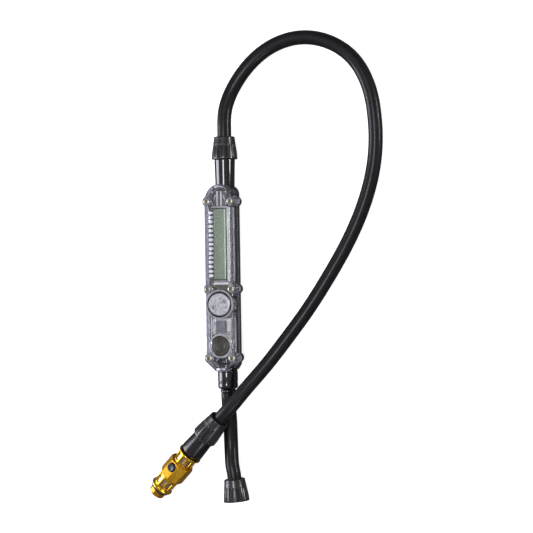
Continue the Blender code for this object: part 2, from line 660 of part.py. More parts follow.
def make_thread_insert(look, rubber, metal):
    """Threaded end that takes the valve, with its O-ring, valve seal and core pin."""
    rings = [
        (22.8, 4.5), (31.0, 4.5), (31.0, 4.8), (CHUCK_TIP - 0.5, 4.8), (CHUCK_TIP, 4.5),
        (CHUCK_TIP, 3.9), (27.0, 3.9), (27.0, 1.8), (22.8, 1.8),
    ]
    lofted("thread_insert", rings, CHUCK_LINE, look, closed=True)
    o_ring("insert_seal", 5.25, 1.1, 30.2, CHUCK_LINE, rubber)
    tube("valve_seal", 1.5, 3.6, 27.3, 28.3, CHUCK_LINE, rubber, segments=24)
    lofted("core_pin", [(23.2, 1.1), (28.6, 1.1), (28.9, 0.8)], CHUCK_LINE, metal, segments=SMALL_ROUND)


def main():
    """Builds every piece."""
    for thing in list(bpy.data.objects):
        bpy.data.objects.remove(thing)
    black = material("black_plastic", (0.012, 0.012, 0.015), 0.3)
    hose_black = material("hose_rubber", (0.02, 0.021, 0.024), 0.5)
    rubber = material("seal_rubber", (0.01, 0.01, 0.01), 0.6)
    clear = material("clear_cover", (0.62, 0.63, 0.68), 0.12, alpha=0.35)
    steel = material("screw_steel", (0.72, 0.71, 0.68), 0.25, 1.0)
    brass = material("contact_brass", (0.76, 0.62, 0.33), 0.3, 1.0)
    board = material("board_green", (0.10, 0.16, 0.12), 0.5)
    lcd = material("lcd_green", (0.23, 0.29, 0.21), 0.25)
    lcd_white = material("lcd_frame_white", (0.5, 0.5, 0.52), 0.45)
    chip = material("chip_grey", (0.16, 0.16, 0.2), 0.45)
    cell = material("cell_steel", (0.75, 0.75, 0.76), 0.2, 1.0)
    cap = material("cap_silver", (0.55, 0.56, 0.58), 0.4, 1.0)
    button = material("button_rubber", (0.065, 0.06, 0.05), 0.55)
    gold = material("gold_anodised", (0.83, 0.55, 0.09), 0.22, 1.0)
    orange = material("orange_anodised", (0.78, 0.38, 0.08), 0.25, 1.0)
    make_rear_shell(black)
    make_front_cover(clear)
    make_cover_screws(steel)
    make_manifold_tube(black)
    make_tube_seals(rubber)
    make_pressure_sensor(steel, rubber)
    make_inlet_ferrule(black)
    make_circuit_board(board)
    make_display(lcd_white, lcd, steel)
    make_sensor_bridge(chip)
    make_board_parts(chip, brass)
    make_cell(cell, cap, rubber)
    make_power_button(button)
    make_nuts(black, brass, lcd_white, rubber)
    make_chuck_spigot(black, rubber, steel)
    make_chuck_body(gold)
    make_bleed_valve(rubber, steel)
    make_thread_insert(orange, rubber, brass)
    hose("outlet_hose", OUTLET_ROUTE, hose_black)
    hose("inlet_hose", INLET_ROUTE, hose_black)


main()
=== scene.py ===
"""Looks for an in-line digital pressure gauge with its hoses, coupling nut and valve chuck.

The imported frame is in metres. Sizes here are in millimetres and the helpers turn them into metres.
+Y runs up the housing to the outlet hose and +Z leaves the display.
"""

import json
import math

import bmesh
import bpy
import numpy as np
from mathutils import Matrix, Vector
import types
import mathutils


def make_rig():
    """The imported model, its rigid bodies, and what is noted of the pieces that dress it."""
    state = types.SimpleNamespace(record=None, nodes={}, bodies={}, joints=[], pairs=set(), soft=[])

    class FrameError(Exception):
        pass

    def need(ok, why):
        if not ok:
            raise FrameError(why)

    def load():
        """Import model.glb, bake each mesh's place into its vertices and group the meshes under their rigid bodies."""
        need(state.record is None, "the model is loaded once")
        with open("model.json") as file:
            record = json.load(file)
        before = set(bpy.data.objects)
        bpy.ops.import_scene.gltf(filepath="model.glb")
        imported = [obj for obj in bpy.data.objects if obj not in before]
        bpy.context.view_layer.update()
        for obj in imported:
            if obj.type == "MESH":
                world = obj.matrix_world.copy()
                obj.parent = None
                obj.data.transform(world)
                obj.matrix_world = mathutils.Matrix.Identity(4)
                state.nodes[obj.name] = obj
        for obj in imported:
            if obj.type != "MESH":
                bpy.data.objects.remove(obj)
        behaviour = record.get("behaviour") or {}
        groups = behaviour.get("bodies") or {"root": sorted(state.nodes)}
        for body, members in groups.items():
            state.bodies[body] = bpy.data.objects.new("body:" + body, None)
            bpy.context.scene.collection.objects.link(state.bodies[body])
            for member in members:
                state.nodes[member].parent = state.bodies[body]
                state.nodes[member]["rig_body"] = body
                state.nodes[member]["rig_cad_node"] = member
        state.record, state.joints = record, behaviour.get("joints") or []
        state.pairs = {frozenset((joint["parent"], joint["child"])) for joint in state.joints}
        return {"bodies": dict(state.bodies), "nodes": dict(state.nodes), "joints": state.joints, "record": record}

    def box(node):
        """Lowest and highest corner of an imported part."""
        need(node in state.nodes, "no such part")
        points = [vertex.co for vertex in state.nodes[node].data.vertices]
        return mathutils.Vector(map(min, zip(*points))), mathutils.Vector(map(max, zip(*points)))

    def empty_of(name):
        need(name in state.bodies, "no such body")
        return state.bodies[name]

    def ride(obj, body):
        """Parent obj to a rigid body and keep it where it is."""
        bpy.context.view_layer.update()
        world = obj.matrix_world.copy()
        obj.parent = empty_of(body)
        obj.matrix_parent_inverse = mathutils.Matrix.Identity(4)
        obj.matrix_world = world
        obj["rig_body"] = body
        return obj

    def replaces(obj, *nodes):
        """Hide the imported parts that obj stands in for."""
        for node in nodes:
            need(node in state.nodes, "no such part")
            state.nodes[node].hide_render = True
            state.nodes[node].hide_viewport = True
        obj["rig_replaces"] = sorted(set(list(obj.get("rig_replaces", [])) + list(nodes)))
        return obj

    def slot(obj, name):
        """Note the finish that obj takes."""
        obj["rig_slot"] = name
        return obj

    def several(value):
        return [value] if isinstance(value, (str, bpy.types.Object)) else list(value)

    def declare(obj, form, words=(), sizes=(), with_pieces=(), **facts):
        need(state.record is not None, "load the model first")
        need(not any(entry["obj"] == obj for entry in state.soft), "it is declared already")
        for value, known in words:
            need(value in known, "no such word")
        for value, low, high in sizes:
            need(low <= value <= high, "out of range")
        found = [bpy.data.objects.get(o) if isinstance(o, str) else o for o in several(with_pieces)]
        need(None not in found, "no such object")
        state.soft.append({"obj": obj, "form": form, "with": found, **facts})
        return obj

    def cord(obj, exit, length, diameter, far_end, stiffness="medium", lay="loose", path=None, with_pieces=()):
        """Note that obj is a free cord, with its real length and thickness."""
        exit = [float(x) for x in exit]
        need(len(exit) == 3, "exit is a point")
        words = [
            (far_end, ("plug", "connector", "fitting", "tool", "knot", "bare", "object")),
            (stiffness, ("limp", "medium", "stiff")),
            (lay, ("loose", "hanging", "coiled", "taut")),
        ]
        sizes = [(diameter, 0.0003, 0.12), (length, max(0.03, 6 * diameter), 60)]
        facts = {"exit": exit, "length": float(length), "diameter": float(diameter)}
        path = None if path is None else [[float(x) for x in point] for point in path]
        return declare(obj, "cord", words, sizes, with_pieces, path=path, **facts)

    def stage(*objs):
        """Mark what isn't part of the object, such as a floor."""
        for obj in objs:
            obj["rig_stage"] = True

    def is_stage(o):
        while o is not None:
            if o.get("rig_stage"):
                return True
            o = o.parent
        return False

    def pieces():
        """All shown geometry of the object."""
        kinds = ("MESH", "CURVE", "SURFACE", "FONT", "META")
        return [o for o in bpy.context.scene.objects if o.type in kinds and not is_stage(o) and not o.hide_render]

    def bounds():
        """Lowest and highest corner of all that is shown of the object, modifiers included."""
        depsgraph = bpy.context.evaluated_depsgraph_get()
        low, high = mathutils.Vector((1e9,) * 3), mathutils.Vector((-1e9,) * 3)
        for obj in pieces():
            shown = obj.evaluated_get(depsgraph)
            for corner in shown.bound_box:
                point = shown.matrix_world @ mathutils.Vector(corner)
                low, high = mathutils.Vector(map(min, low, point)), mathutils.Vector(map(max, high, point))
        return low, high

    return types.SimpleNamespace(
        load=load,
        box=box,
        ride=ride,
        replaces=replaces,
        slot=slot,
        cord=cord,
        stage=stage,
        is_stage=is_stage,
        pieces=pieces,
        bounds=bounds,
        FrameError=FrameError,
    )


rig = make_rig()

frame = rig.load()
CAD_LOW, CAD_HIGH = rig.bounds()
MM = 0.001
SCENE = bpy.context.scene
SCENE.view_settings.view_transform = "Standard"
SCENE.view_settings.look = "None"


# ---- camera

CAMERA_TILT = math.radians(20.0)
CAMERA_ROLL = math.radians(0.88)
CAMERA_PLACE = Vector((312.245, 1.757, 798.353))
CAMERA_LENS = 100.72


def make_camera():
    """A camera that leans towards +X and rolls a little."""
    right = Vector((math.cos(CAMERA_TILT), 0.0, -math.sin(CAMERA_TILT)))
    up = Vector((0.0, 1.0, 0.0))
    back = Vector((math.sin(CAMERA_TILT), 0.0, math.cos(CAMERA_TILT)))
    rolled_right = right * math.cos(CAMERA_ROLL) - up * math.sin(CAMERA_ROLL)
    rolled_up = up * math.cos(CAMERA_ROLL) + right * math.sin(CAMERA_ROLL)
    data = bpy.data.cameras.new("camera")
    data.sensor_width = 36.0
    data.lens = CAMERA_LENS
    data.clip_start = 0.05
    data.clip_end = 20.0
    camera = bpy.data.objects.new("camera", data)
    turn = Matrix((rolled_right, rolled_up, back)).transposed().to_4x4()
    camera.matrix_world = Matrix.Translation(CAMERA_PLACE * MM) @ turn
    SCENE.collection.objects.link(camera)
    SCENE.camera = camera


make_camera()


# ---- places read from the frame

def box_mm(node):
    """A node's lowest and highest corners in millimetres."""
    low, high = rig.box(node)
    return low / MM, high / MM


def joint(name):
    """A joint of the record by name."""
    return next(j for j in frame["joints"] if j["name"] == name)


def axis_frame(origin, along, toward):
    """A placement from an origin in millimetres, with local Z along one direction and X near another."""
    z_axis = Vector(along).normalized()
    toward = Vector(toward)
    x_axis = (toward - z_axis * toward.dot(z_axis)).normalized()
    y_axis = z_axis.cross(x_axis)
    turn = Matrix((x_axis, y_axis, z_axis)).transposed().to_4x4()
    return Matrix.Translation(Vector(origin) * MM) @ turn


def upright(x=0.0, y=0.0, z=0.0):
    """A placement with local Z along world Z."""
    return Matrix.Translation(Vector((x, y, z)) * MM)


TUBE_LOW, TUBE_HIGH = box_mm("manifold_tube")
SHELL_LOW, SHELL_HIGH = box_mm("rear_shell")
COVER_LOW, COVER_HIGH = box_mm("front_cover")
SCREW_BOXES = [box_mm(f"cover_screw_{number}") for number in range(1, 7)]
SCREW_SPOTS = [((low.x + high.x) / 2, (low.y + high.y) / 2) for low, high in SCREW_BOXES]
SCREW_TOP_Z = SCREW_BOXES[0][1].z
CAP_LOW, CAP_HIGH = box_mm("battery_cap")
BUTTON_LOW, BUTTON_HIGH = box_mm("power_button")
GLASS_LOW, GLASS_HIGH = box_mm("lcd_glass")
PINS_LOW, PINS_HIGH = box_mm("lcd_pins")
CHIP_LOW, CHIP_HIGH = box_mm("controller_chip")
BOARD_TOP_Z = box_mm("circuit_board")[1].z
OUTLET_NUT_TOP = box_mm("outlet_nut")[1].y

AXIS_Z = (TUBE_LOW.z + TUBE_HIGH.z) / 2
FRONT_Z = SCREW_TOP_Z - 0.3
PARTING_Z = COVER_LOW.z
SHELL_TOP_Z = SHELL_HIGH.z
COVER_TOP = SHELL_HIGH.y
COVER_BOTTOM = SHELL_LOW.y
SCREW_X = SCREW_SPOTS[1][0]
SCREW_ROWS = sorted({round(y, 3) for x, y in SCREW_SPOTS})
EAR_R = COVER_HIGH.x - SCREW_X
CELL_Y = (CAP_LOW.y + CAP_HIGH.y) / 2
CAP_R = (CAP_HIGH.x - CAP_LOW.x) / 2
RIM_Z = COVER_HIGH.z
BUTTON_Y = (BUTTON_LOW.y + BUTTON_HIGH.y) / 2

UPWARD = (0.0, 0.0, 1.0)
GAUGE_LINE = axis_frame((0.0, 0.0, AXIS_Z), (0.0, 1.0, 0.0), UPWARD)
OUTLET_LINE = axis_frame((0.0, OUTLET_NUT_TOP, AXIS_Z), (0.0, -1.0, 0.0), UPWARD)
SWIVEL = joint("chuck_swivel")
BLEED_WAY = -Vector(joint("bleed_press")["axis"])
CHUCK_LINE = axis_frame(Vector(SWIVEL["pos_m"]) / MM, SWIVEL["axis"], BLEED_WAY)
CHUCK_NUT = joint("chuck_nut_turn")
CHUCK_NUT_LINE = axis_frame(Vector(CHUCK_NUT["pos_m"]) / MM, -Vector(CHUCK_NUT["axis"]), UPWARD)
PUMP_SWIVEL = joint("pump_nut_swivel")
PUMP_LINE = axis_frame(Vector(PUMP_SWIVEL["pos_m"]) / MM, PUMP_SWIVEL["axis"], UPWARD)

# Housing sizes that the boxes don't give
COVER_HALF = 8.6
COVER_WALL = 1.6
SHELL_TOP_HALF = 8.4
REAR_R = 8.1
ARCH_RISE = 10.7
ARCH_Y = COVER_TOP - ARCH_RISE
CHIN_HALF = 3.5
PILLAR_R = 2.6
SCREW_HOLE_R = 1.2
SEAT_R = 2.2
RIM_R = 8.4
RIM_WELL_R = 7.4
LIP_R = 6.7
LIP_HOLE_R = 5.8
INSIDE_LOW = -52.2
INSIDE_HIGH = 41.6
CEILING_Z = FRONT_Z - COVER_WALL

# Hoses
HOSE_R = 4.0
OUTLET_ROUTE = [
    (0.0, 73.2, 7.5), (0.0, 80.0, 7.45), (0.0, 86.5, 7.15), (0.9, 93.5, 6.4), (3.8, 101.6, 5.3),
    (8.6, 109.6, 4.55), (15.2, 117.2, 4.2), (23.6, 123.7, 4.1), (33.8, 128.3, 4.1), (45.2, 130.1, 4.1),
    (56.7, 128.5, 4.1), (67.3, 123.8, 4.1), (76.0, 116.5, 4.1), (82.0, 107.3, 4.1), (85.6, 97.7, 4.1),
    (87.8, 85.0, 4.1), (88.4, 72.5, 4.1), (87.2, 58.0, 4.1), (83.8, 43.4, 4.1), (77.6, 27.0, 4.15),
    (69.5, 11.0, 4.35), (59.1, -6.3, 5.3), (48.3, -23.0, 7.4), (36.2, -39.5, 10.2), (24.0, -55.0, 12.9),
    (12.9, -67.6, 14.8), (5.6, -76.1, 15.6), (-0.32, -82.09, 15.19), (-4.37, -86.2, 14.43),
]
INLET_ROUTE = [
    (0.0, -70.1, 7.5), (0.0, -72.2, 7.47), (0.0, -75.5, 7.05), (-0.1, -80.8, 5.7), (-0.2, -86.2, 4.5),
    (-0.2, -91.6, 4.12), (-0.1, -96.0, 4.1), (0.2, -101.4, 4.5), (0.8, -106.75, 5.67),
    (1.75, -112.1, 6.98), (2.79, -116.5, 7.42), (3.19, -120.84, 7.45),
]
HOSE_STEP = 1.2
HOSE_SIDES = 48
UV_LENGTH = 10.0


# ---- materials

def new_material(name):
    """A material with its tree and its Principled shader."""
    made = bpy.data.materials.new(name)
    made.use_nodes = True
    tree = made.node_tree
    return made, tree, tree.nodes["Principled BSDF"]


def finish_shader(tree, shader, tone, gloss, normal=None, **values):
    """Links a shader's colour, roughness and normal, and sets its other sockets."""
    tree.links.new(tone, shader.inputs["Base Color"])
    tree.links.new(gloss, shader.inputs["Roughness"])
    if normal:
        tree.links.new(normal, shader.inputs["Normal"])
    for key, value in values.items():
        shader.inputs[key.replace("_", " ")].default_value = value


def add(tree, kind, **values):
    """A node with its sockets set by name; underscores stand for spaces."""
    node = tree.nodes.new(kind)
    for key, value in values.items():
        node.inputs[key.replace("_", " ")].default_value = value
    return node


def place_coordinates(tree, stretch):
    """Object coordinates, stretched."""
    where = tree.nodes.new("ShaderNodeTexCoord")
    mapping = add(tree, "ShaderNodeMapping", Scale=stretch)
    tree.links.new(where.outputs["Object"], mapping.inputs["Vector"])
    return mapping.outputs["Vector"]


def noise(tree, where, scale, detail=3.0, rough=0.55):
    """Noise of one scale, per metre."""
    node = add(tree, "ShaderNodeTexNoise", Scale=scale, Detail=detail, Roughness=rough)
    tree.links.new(where, node.inputs["Vector"])
    return node.outputs["Fac"]


def blended(tree, factor, first, second, low=0.35, high=0.65):
    """A colour that runs from one to another as a factor rises."""
    ramp = tree.nodes.new("ShaderNodeValToRGB")
    ramp.color_ramp.elements[0].position = low
    ramp.color_ramp.elements[1].position = high
    ramp.color_ramp.elements[0].color = (*first, 1.0)
    ramp.color_ramp.elements[1].color = (*second, 1.0)
    tree.links.new(factor, ramp.inputs["Fac"])
    return ramp.outputs["Color"]


def ranged(tree, factor, low, high):
    """A factor stretched to a range."""
    node = add(tree, "ShaderNodeMapRange", From_Min=0.3, From_Max=0.7, To_Min=low, To_Max=high)
    tree.links.new(factor, node.inputs["Value"])
    return node.outputs["Result"]


def bumped(tree, height, strength, depth):
    """A bump normal."""
    node = add(tree, "ShaderNodeBump", Strength=strength, Distance=depth)
    tree.links.new(height, node.inputs["Height"])
    return node.outputs["Normal"]


def surface(name, dark, light, roughness, spread, metallic, blotch, grain, bump, microns, coat=0.0,
            coat_roughness=0.03, stretch=(1.0, 1.0, 1.0)):
    """Colour that drifts between two tones in thousandths, uneven gloss and a fine grain."""
    made, tree, shader = new_material(name)
    where = place_coordinates(tree, stretch)
    tones = [[part / 1000 for part in tone] for tone in (dark, light)]
    tone = blended(tree, noise(tree, where, blotch), *tones)
    gloss = ranged(tree, noise(tree, where, blotch * 3.1), roughness - spread, roughness + spread)
    normal = bumped(tree, noise(tree, where, grain, 4.0), bump, microns / 1e6)
    finish_shader(tree, shader, tone, gloss, normal, Metallic=metallic, Coat_Weight=coat,
                  Coat_Roughness=coat_roughness)
    return made


# Painted shade: the dark purple that the clear plastic takes where it is seen edge-on, standing in for dark
# surroundings seen through its edges
GRAZING_PAINTED_SHADE = (0.10, 0.085, 0.16)


def clear_surface(name, tint, roughness, frost):
    """Clear plastic that bends light, lets shadow rays through, and has faint smears and waviness; its colour turns to
    a dark painted shade where it is seen edge-on.
    """
    made, tree, shader = new_material(name)
    where = place_coordinates(tree, (1.0, 1.0, 1.0))
    gloss = ranged(tree, noise(tree, where, 260.0, 4.0), roughness * 0.4, roughness * 1.6)
    normal = bumped(tree, noise(tree, where, 420.0, 2.0), 0.05, 0.00003)
    grazing = add(tree, "ShaderNodeLayerWeight", Blend=0.5)
    # painted shade: the colour darkens as the surface turns edge-on
    tone = blended(tree, grazing.outputs["Facing"], tint, GRAZING_PAINTED_SHADE, 0.58, 0.86)
    finish_shader(tree, shader, tone, gloss, normal, Transmission_Weight=frost, IOR=1.56)
    through = add(tree, "ShaderNodeBsdfTransparent", Color=(*tint, 1.0))
    path = tree.nodes.new("ShaderNodeLightPath")
    mix = tree.nodes.new("ShaderNodeMixShader")
    tree.links.new(path.outputs["Is Shadow Ray"], mix.inputs["Fac"])
    tree.links.new(shader.outputs["BSDF"], mix.inputs[1])
    tree.links.new(through.outputs["BSDF"], mix.inputs[2])
    tree.links.new(mix.outputs["Shader"], tree.nodes["Material Output"].inputs["Surface"])
    return made


def hose_surface():
    """Black hose cover: satin, with faint draw lines along it, dust and a thin glossy skin."""
    made, tree, shader = new_material("hose_cover")
    uv = tree.nodes.new("ShaderNodeUVMap")
    uv.uv_map = "hose"
    lines = add(tree, "ShaderNodeMapping", Scale=(90.0, 0.6, 1.0))
    tree.links.new(uv.outputs["UV"], lines.inputs["Vector"])
    draw = noise(tree, lines.outputs["Vector"], 1.0, 3.0)
    where = place_coordinates(tree, (1.0, 1.0, 1.0))
    tone = blended(tree, noise(tree, where, 240.0, 5.0), (0.0050, 0.0054, 0.0065), (0.0090, 0.0094, 0.0110))
    gloss = ranged(tree, noise(tree, where, 700.0, 4.0), 0.36, 0.48)
    finish_shader(tree, shader, tone, gloss, bumped(tree, draw, 0.12, 0.00004), Specular_IOR_Level=0.22,
                  Coat_Weight=0.16, Coat_Roughness=0.12)
    return made


def display_surface():
    """Grey-green reflective display with a barely seen grid of cells."""
    made, tree, shader = new_material("display_green")
    where = place_coordinates(tree, (1.0, 1.0, 1.0))
    cells = add(tree, "ShaderNodeTexBrick", Scale=1.0, Mortar_Size=0.00006, Brick_Width=0.0026,
                Row_Height=0.0012, Color1=(0.150, 0.196, 0.132, 1.0), Color2=(0.145, 0.190, 0.128, 1.0),
                Mortar=(0.135, 0.177, 0.119, 1.0))
    tree.links.new(where, cells.inputs["Vector"])
    shade = blended(tree, noise(tree, where, 90.0), (0.93, 0.93, 0.95), (1.0, 1.0, 1.0))
    mix = tree.nodes.new("ShaderNodeMix")
    mix.data_type = "RGBA"
    mix.blend_type = "MULTIPLY"
    mix.inputs["Factor"].default_value = 1.0
    tree.links.new(cells.outputs["Color"], mix.inputs["A"])
    tree.links.new(shade, mix.inputs["B"])
    gloss = ranged(tree, noise(tree, where, 900.0), 0.22, 0.32)
    finish_shader(tree, shader, mix.outputs["Result"], gloss, Coat_Weight=0.4, Coat_Roughness=0.05)
    return made


# Two tones in thousandths, roughness and its spread, metallic, blotches and grain per metre, bump and its
# depth in microns. A coat and its roughness may follow.
FINISHES = {
    "nut_black": ((5, 5, 7), (12, 12, 16), 0.38, 0.06, 0, 420, 4200, 0.08, 20, 0.6, 0.18),
    "tube_black": ((5, 5, 7), (10, 10, 13), 0.12, 0.04, 0, 500, 900, 0.12, 50, 0.6, 0.05),
    "spigot_black": ((4, 4, 6), (9, 9, 12), 0.24, 0.06, 0, 450, 5200, 0.12, 20, 0.15, 0.12),
    "shell_black": ((8, 8, 10), (15, 15, 18), 0.3, 0.06, 0, 260, 6000, 0.25, 30, 0.3, 0.15),
    "seal_black": ((6, 6, 6), (14, 14, 14), 0.5, 0.08, 0, 700, 8000, 0.3, 30),
    # Pale gasket: partly its own colour, partly a painted reflection band seen through the cover's walls
    "gasket_pale": ((620, 620, 700), (800, 800, 860), 0.4, 0.08, 0, 500, 4000, 0.1, 30),
    "screw_steel": ((360, 350, 330), (540, 525, 500), 0.33, 0.06, 1, 900, 9000, 0.12, 10),
    "screw_recess": ((120, 90, 50), (420, 360, 240), 0.34, 0.1, 0.8, 1500, 6000, 0.2, 20),
    "pin_tinned": ((620, 620, 650), (880, 880, 900), 0.26, 0.08, 0.35, 1500, 8000, 0.15, 20),
    "contact_brass": ((720, 560, 260), (850, 720, 420), 0.28, 0.08, 1, 1200, 8000, 0.15, 20),
    "board_laminate": ((35, 40, 26), (75, 70, 40), 0.38, 0.08, 0, 900, 6000, 0.2, 30),
    "module_grey": ((75, 75, 100), (120, 120, 150), 0.42, 0.08, 0, 700, 5000, 0.2, 30),
    "bridge_grey": ((40, 40, 52), (75, 75, 92), 0.36, 0.08, 0, 500, 5000, 0.2, 30),
    "carrier_pale": ((360, 365, 380), (500, 505, 510), 0.34, 0.08, 0, 260, 4000, 0.15, 30),
    "spacer_milky": ((260, 265, 270), (460, 465, 460), 0.3, 0.1, 0, 650, 3000, 0.3, 60),
    "display_edge": ((330, 420, 300), (400, 500, 370), 0.2, 0.05, 0, 400, 5000, 0.15, 30),
    "display_rim": ((22, 22, 28), (45, 45, 55), 0.3, 0.06, 0, 600, 5000, 0.15, 30),
    "cell_steel": ((620, 620, 630), (750, 750, 760), 0.22, 0.05, 1, 900, 8000, 0.12, 10),
    "cap_blasted": ((360, 365, 400), (660, 660, 700), 0.38, 0.08, 0.8, 900, 2200, 0.6, 80),
    "button_rubber": ((36, 32, 26), (56, 51, 41), 0.36, 0.07, 0, 500, 5200, 0.3, 30),
    "bleed_black": ((8, 9, 16), (18, 19, 30), 0.3, 0.06, 0, 900, 5000, 0.2, 30),
    "gold_anodised": ((660, 360, 22), (840, 520, 50), 0.26, 0.06, 1, 420, 6500, 0.2, 20),
    "gold_satin": ((560, 295, 18), (720, 420, 35), 0.5, 0.08, 1, 420, 6500, 0.25, 20),
    "sleeve_silver": ((200, 110, 20), (560, 490, 390), 0.36, 0.1, 1, 2200, 5000, 0.3, 30),
    "orange_anodised": ((620, 230, 20), (860, 420, 50), 0.2, 0.06, 1, 600, 6000, 0.2, 20),
    "washer_nylon": ((520, 520, 490), (660, 660, 620), 0.4, 0.08, 0, 700, 5000, 0.15, 30),
}
STRETCHES = {"module_grey": (0.25, 2.2, 1.0), "carrier_pale": (1.6, 0.35, 1.0)}

# Tint, roughness and how much light goes through
CLEAR_FINISHES = {
    "cover_clear": ((0.96, 0.96, 0.975), 0.02, 1.0),
    "cover_inside": ((0.955, 0.955, 0.97), 0.05, 1.0),
    # Pale frosted finish on the rims and joint faces: partly real frosting, partly a painted reflection for light
    # bounced inside the cover's walls
    "cover_rim_frost_and_painted_glint": ((0.60, 0.60, 0.64), 0.34, 0.45),
    # Dark tint on the round top edge: a painted shade for the dark outline that the edge shows
    "cover_edge_painted_shade": ((0.15, 0.14, 0.21), 0.3, 0.6),
}


def make_materials():
    """Every finish by name."""
    made = {"hose_cover": hose_surface(), "display_green": display_surface()}
    for name, values in FINISHES.items():
        made[name] = surface(name, *values, stretch=STRETCHES.get(name, (1.0, 1.0, 1.0)))
    for name, values in CLEAR_FINISHES.items():
        made[name] = clear_surface(name, *values)
    return made


LOOKS = make_materials()


# ---- mesh helpers

def put(name, mesh, place, body, slot, looks, replaces=(), smooth=38.0):
    """An object from a mesh, riding on a body, with its finishes and what it stands for."""
    mesh.shade_smooth()
    mesh.set_sharp_from_angle(angle=math.radians(smooth))
    thing = bpy.data.objects.new(name, mesh)
    SCENE.collection.objects.link(thing)
    mesh.transform(place)
    mesh.materials.clear()
    for look in [looks] if isinstance(looks, str) else looks:
        mesh.materials.append(LOOKS[look])
    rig.ride(thing, body)
    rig.slot(thing, slot)
    if replaces:
        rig.replaces(thing, *replaces)
    return thing


def fixed(name, mesh, slot, looks, replaces=(), smooth=38.0):
    """A piece of the gauge, from a mesh that is already in its place."""
    return put(name, mesh, Matrix.Identity(4), "gauge", slot, looks, replaces, smooth)


def mesh_from(bm, name="part"):
    """Closes a bmesh into a mesh."""
    bmesh.ops.recalc_face_normals(bm, faces=bm.faces)
    mesh = bpy.data.meshes.new(name)
    bm.to_mesh(mesh)
    bm.free()
    return mesh


def softened(profile, amount):
    """Rounds the corners of an open (height, radius) profile."""
    result = [profile[0]]
    for before, corner, after in zip(profile, profile[1:], profile[2:]):
        p, q, r = Vector(before), Vector(corner), Vector(after)
        back, ahead = p - q, r - q
        if back.length < 1e-6 or ahead.length < 1e-6 or abs(back.angle(ahead) - math.pi) < 0.3:
            result.append(corner)
            continue
        cut = min(amount, 0.45 * back.length, 0.45 * ahead.length)
        start, end = q + back.normalized() * cut, q + ahead.normalized() * cut
        for step in range(4):
            t = step / 3
            result.append(tuple((1 - t) ** 2 * start + 2 * t * (1 - t) * q + t**2 * end))
    return [*result, profile[-1]]


def arc(x, y, reach, rise, first, last, steps):
    """Points on part of an ellipse round (x, y), from one angle to another."""
    turns = [first + (last - first) * step / steps for step in range(steps + 1)]
    return [(x + reach * math.cos(turn), y + rise * math.sin(turn)) for turn in turns]


def skinned(bm, lower, upper):
    """Faces between two closed loops of as many vertices."""
    ends = [*range(1, len(lower)), 0]
    return [bm.faces.new((lower[i], lower[j], upper[j], upper[i])) for i, j in enumerate(ends)]


def lathe(rings, segments=72, closed=False, shade=None):
    """A skin over rings of (height, radius or function of the angle), with an optional face material."""
    bm = bmesh.new()
    loops = []
    for height, radius in rings:
        loop = []
        for step in range(segments):
            angle = 2.0 * math.pi * step / segments
            reach = radius(angle) if callable(radius) else radius
            point = (reach * math.cos(angle) * MM, reach * math.sin(angle) * MM, height * MM)
            loop.append(bm.verts.new(point))
        loops.append(loop)
    pairs = list(zip(loops, loops[1:]))
    if closed:
        pairs.append((loops[-1], loops[0]))
    else:
        bm.faces.new(loops[0])
        bm.faces.new(loops[-1])
    for row, (lower, upper) in enumerate(pairs):
        for step, face in enumerate(skinned(bm, lower, upper)):
            face.material_index = shade(row, step) if shade else 0
    return mesh_from(bm)


def ring_seal(middle, thickness, height, sides=20):
    """A round-section ring."""
    half = thickness / 2.0
    corners = [2.0 * math.pi * step / sides for step in range(sides)]
    rings = [(height + half * math.sin(a), middle + half * math.cos(a)) for a in corners]
    return lathe(rings, closed=True)


def layered(layers, closed=False):
    """A skin over equal-length outlines of (x, y), each at its own z, with end faces or closed on itself."""
    bm = bmesh.new()
    loops = [[bm.verts.new((x * MM, y * MM, z * MM)) for x, y in outline] for z, outline in layers]
    for lower, upper in zip(loops, [*loops[1:], loops[0]] if closed else loops[1:]):
        skinned(bm, lower, upper)
    if not closed:
        bm.faces.new(loops[0])
        bm.faces.new(loops[-1])
    return mesh_from(bm)


def drawn_in(outline, amount):
    """An outline moved inwards, corner by corner. It runs anticlockwise."""
    points = [Vector(p) for p in outline]
    result = []
    for i, point in enumerate(points):
        before, after = points[i - 1], points[(i + 1) % len(points)]
        one = (point - before).normalized()
        two = (after - point).normalized()
        inward = Vector((-one.y - two.y, one.x + two.x))
        scale = max(inward.length_squared / 2.0, 0.5)
        result.append(tuple(point + inward * (amount / scale)))
    return result


def rounded(outline, edge, steps):
    """The outlines of a rounded edge, from side to face, each with how far it is short of the face."""
    turns = [math.pi / 2 * step / steps for step in range(steps + 1)]
    return [(edge * (1 - math.sin(turn)), drawn_in(outline, edge * (1 - math.cos(turn)))) for turn in turns]


def pillow(outline, low, high, edge):
    """A slab over an outline, with rounded edges."""
    shapes = rounded(outline, edge, 4)
    lower = [(low + short, shape) for short, shape in reversed(shapes)]
    return layered(lower + [(high - short, shape) for short, shape in shapes])


def prism(outline, low, high):
    """An outline pushed straight up."""
    return layered([(low, outline), (high, outline)])


def bevelled_box(low, high, edge=0.15):
    """A rectangular block with rounded edges."""
    bm = bmesh.new()
    made = bmesh.ops.create_cube(bm, size=1.0)["verts"]
    size = Vector(high) - Vector(low)
    bmesh.ops.scale(bm, vec=size * MM, verts=made)
    bmesh.ops.translate(bm, vec=(Vector(high) + Vector(low)) / 2 * MM, verts=made)
    bmesh.ops.bevel(bm, geom=list(bm.edges), offset=edge * MM, segments=3, affect="EDGES", profile=0.5)
    return mesh_from(bm)


def blocks(*rows):
    """Several rounded blocks as one mesh, from rows of low corner, high corner and edge."""
    return joined([bevelled_box(row[:3], row[3:6], row[6]) for row in rows])


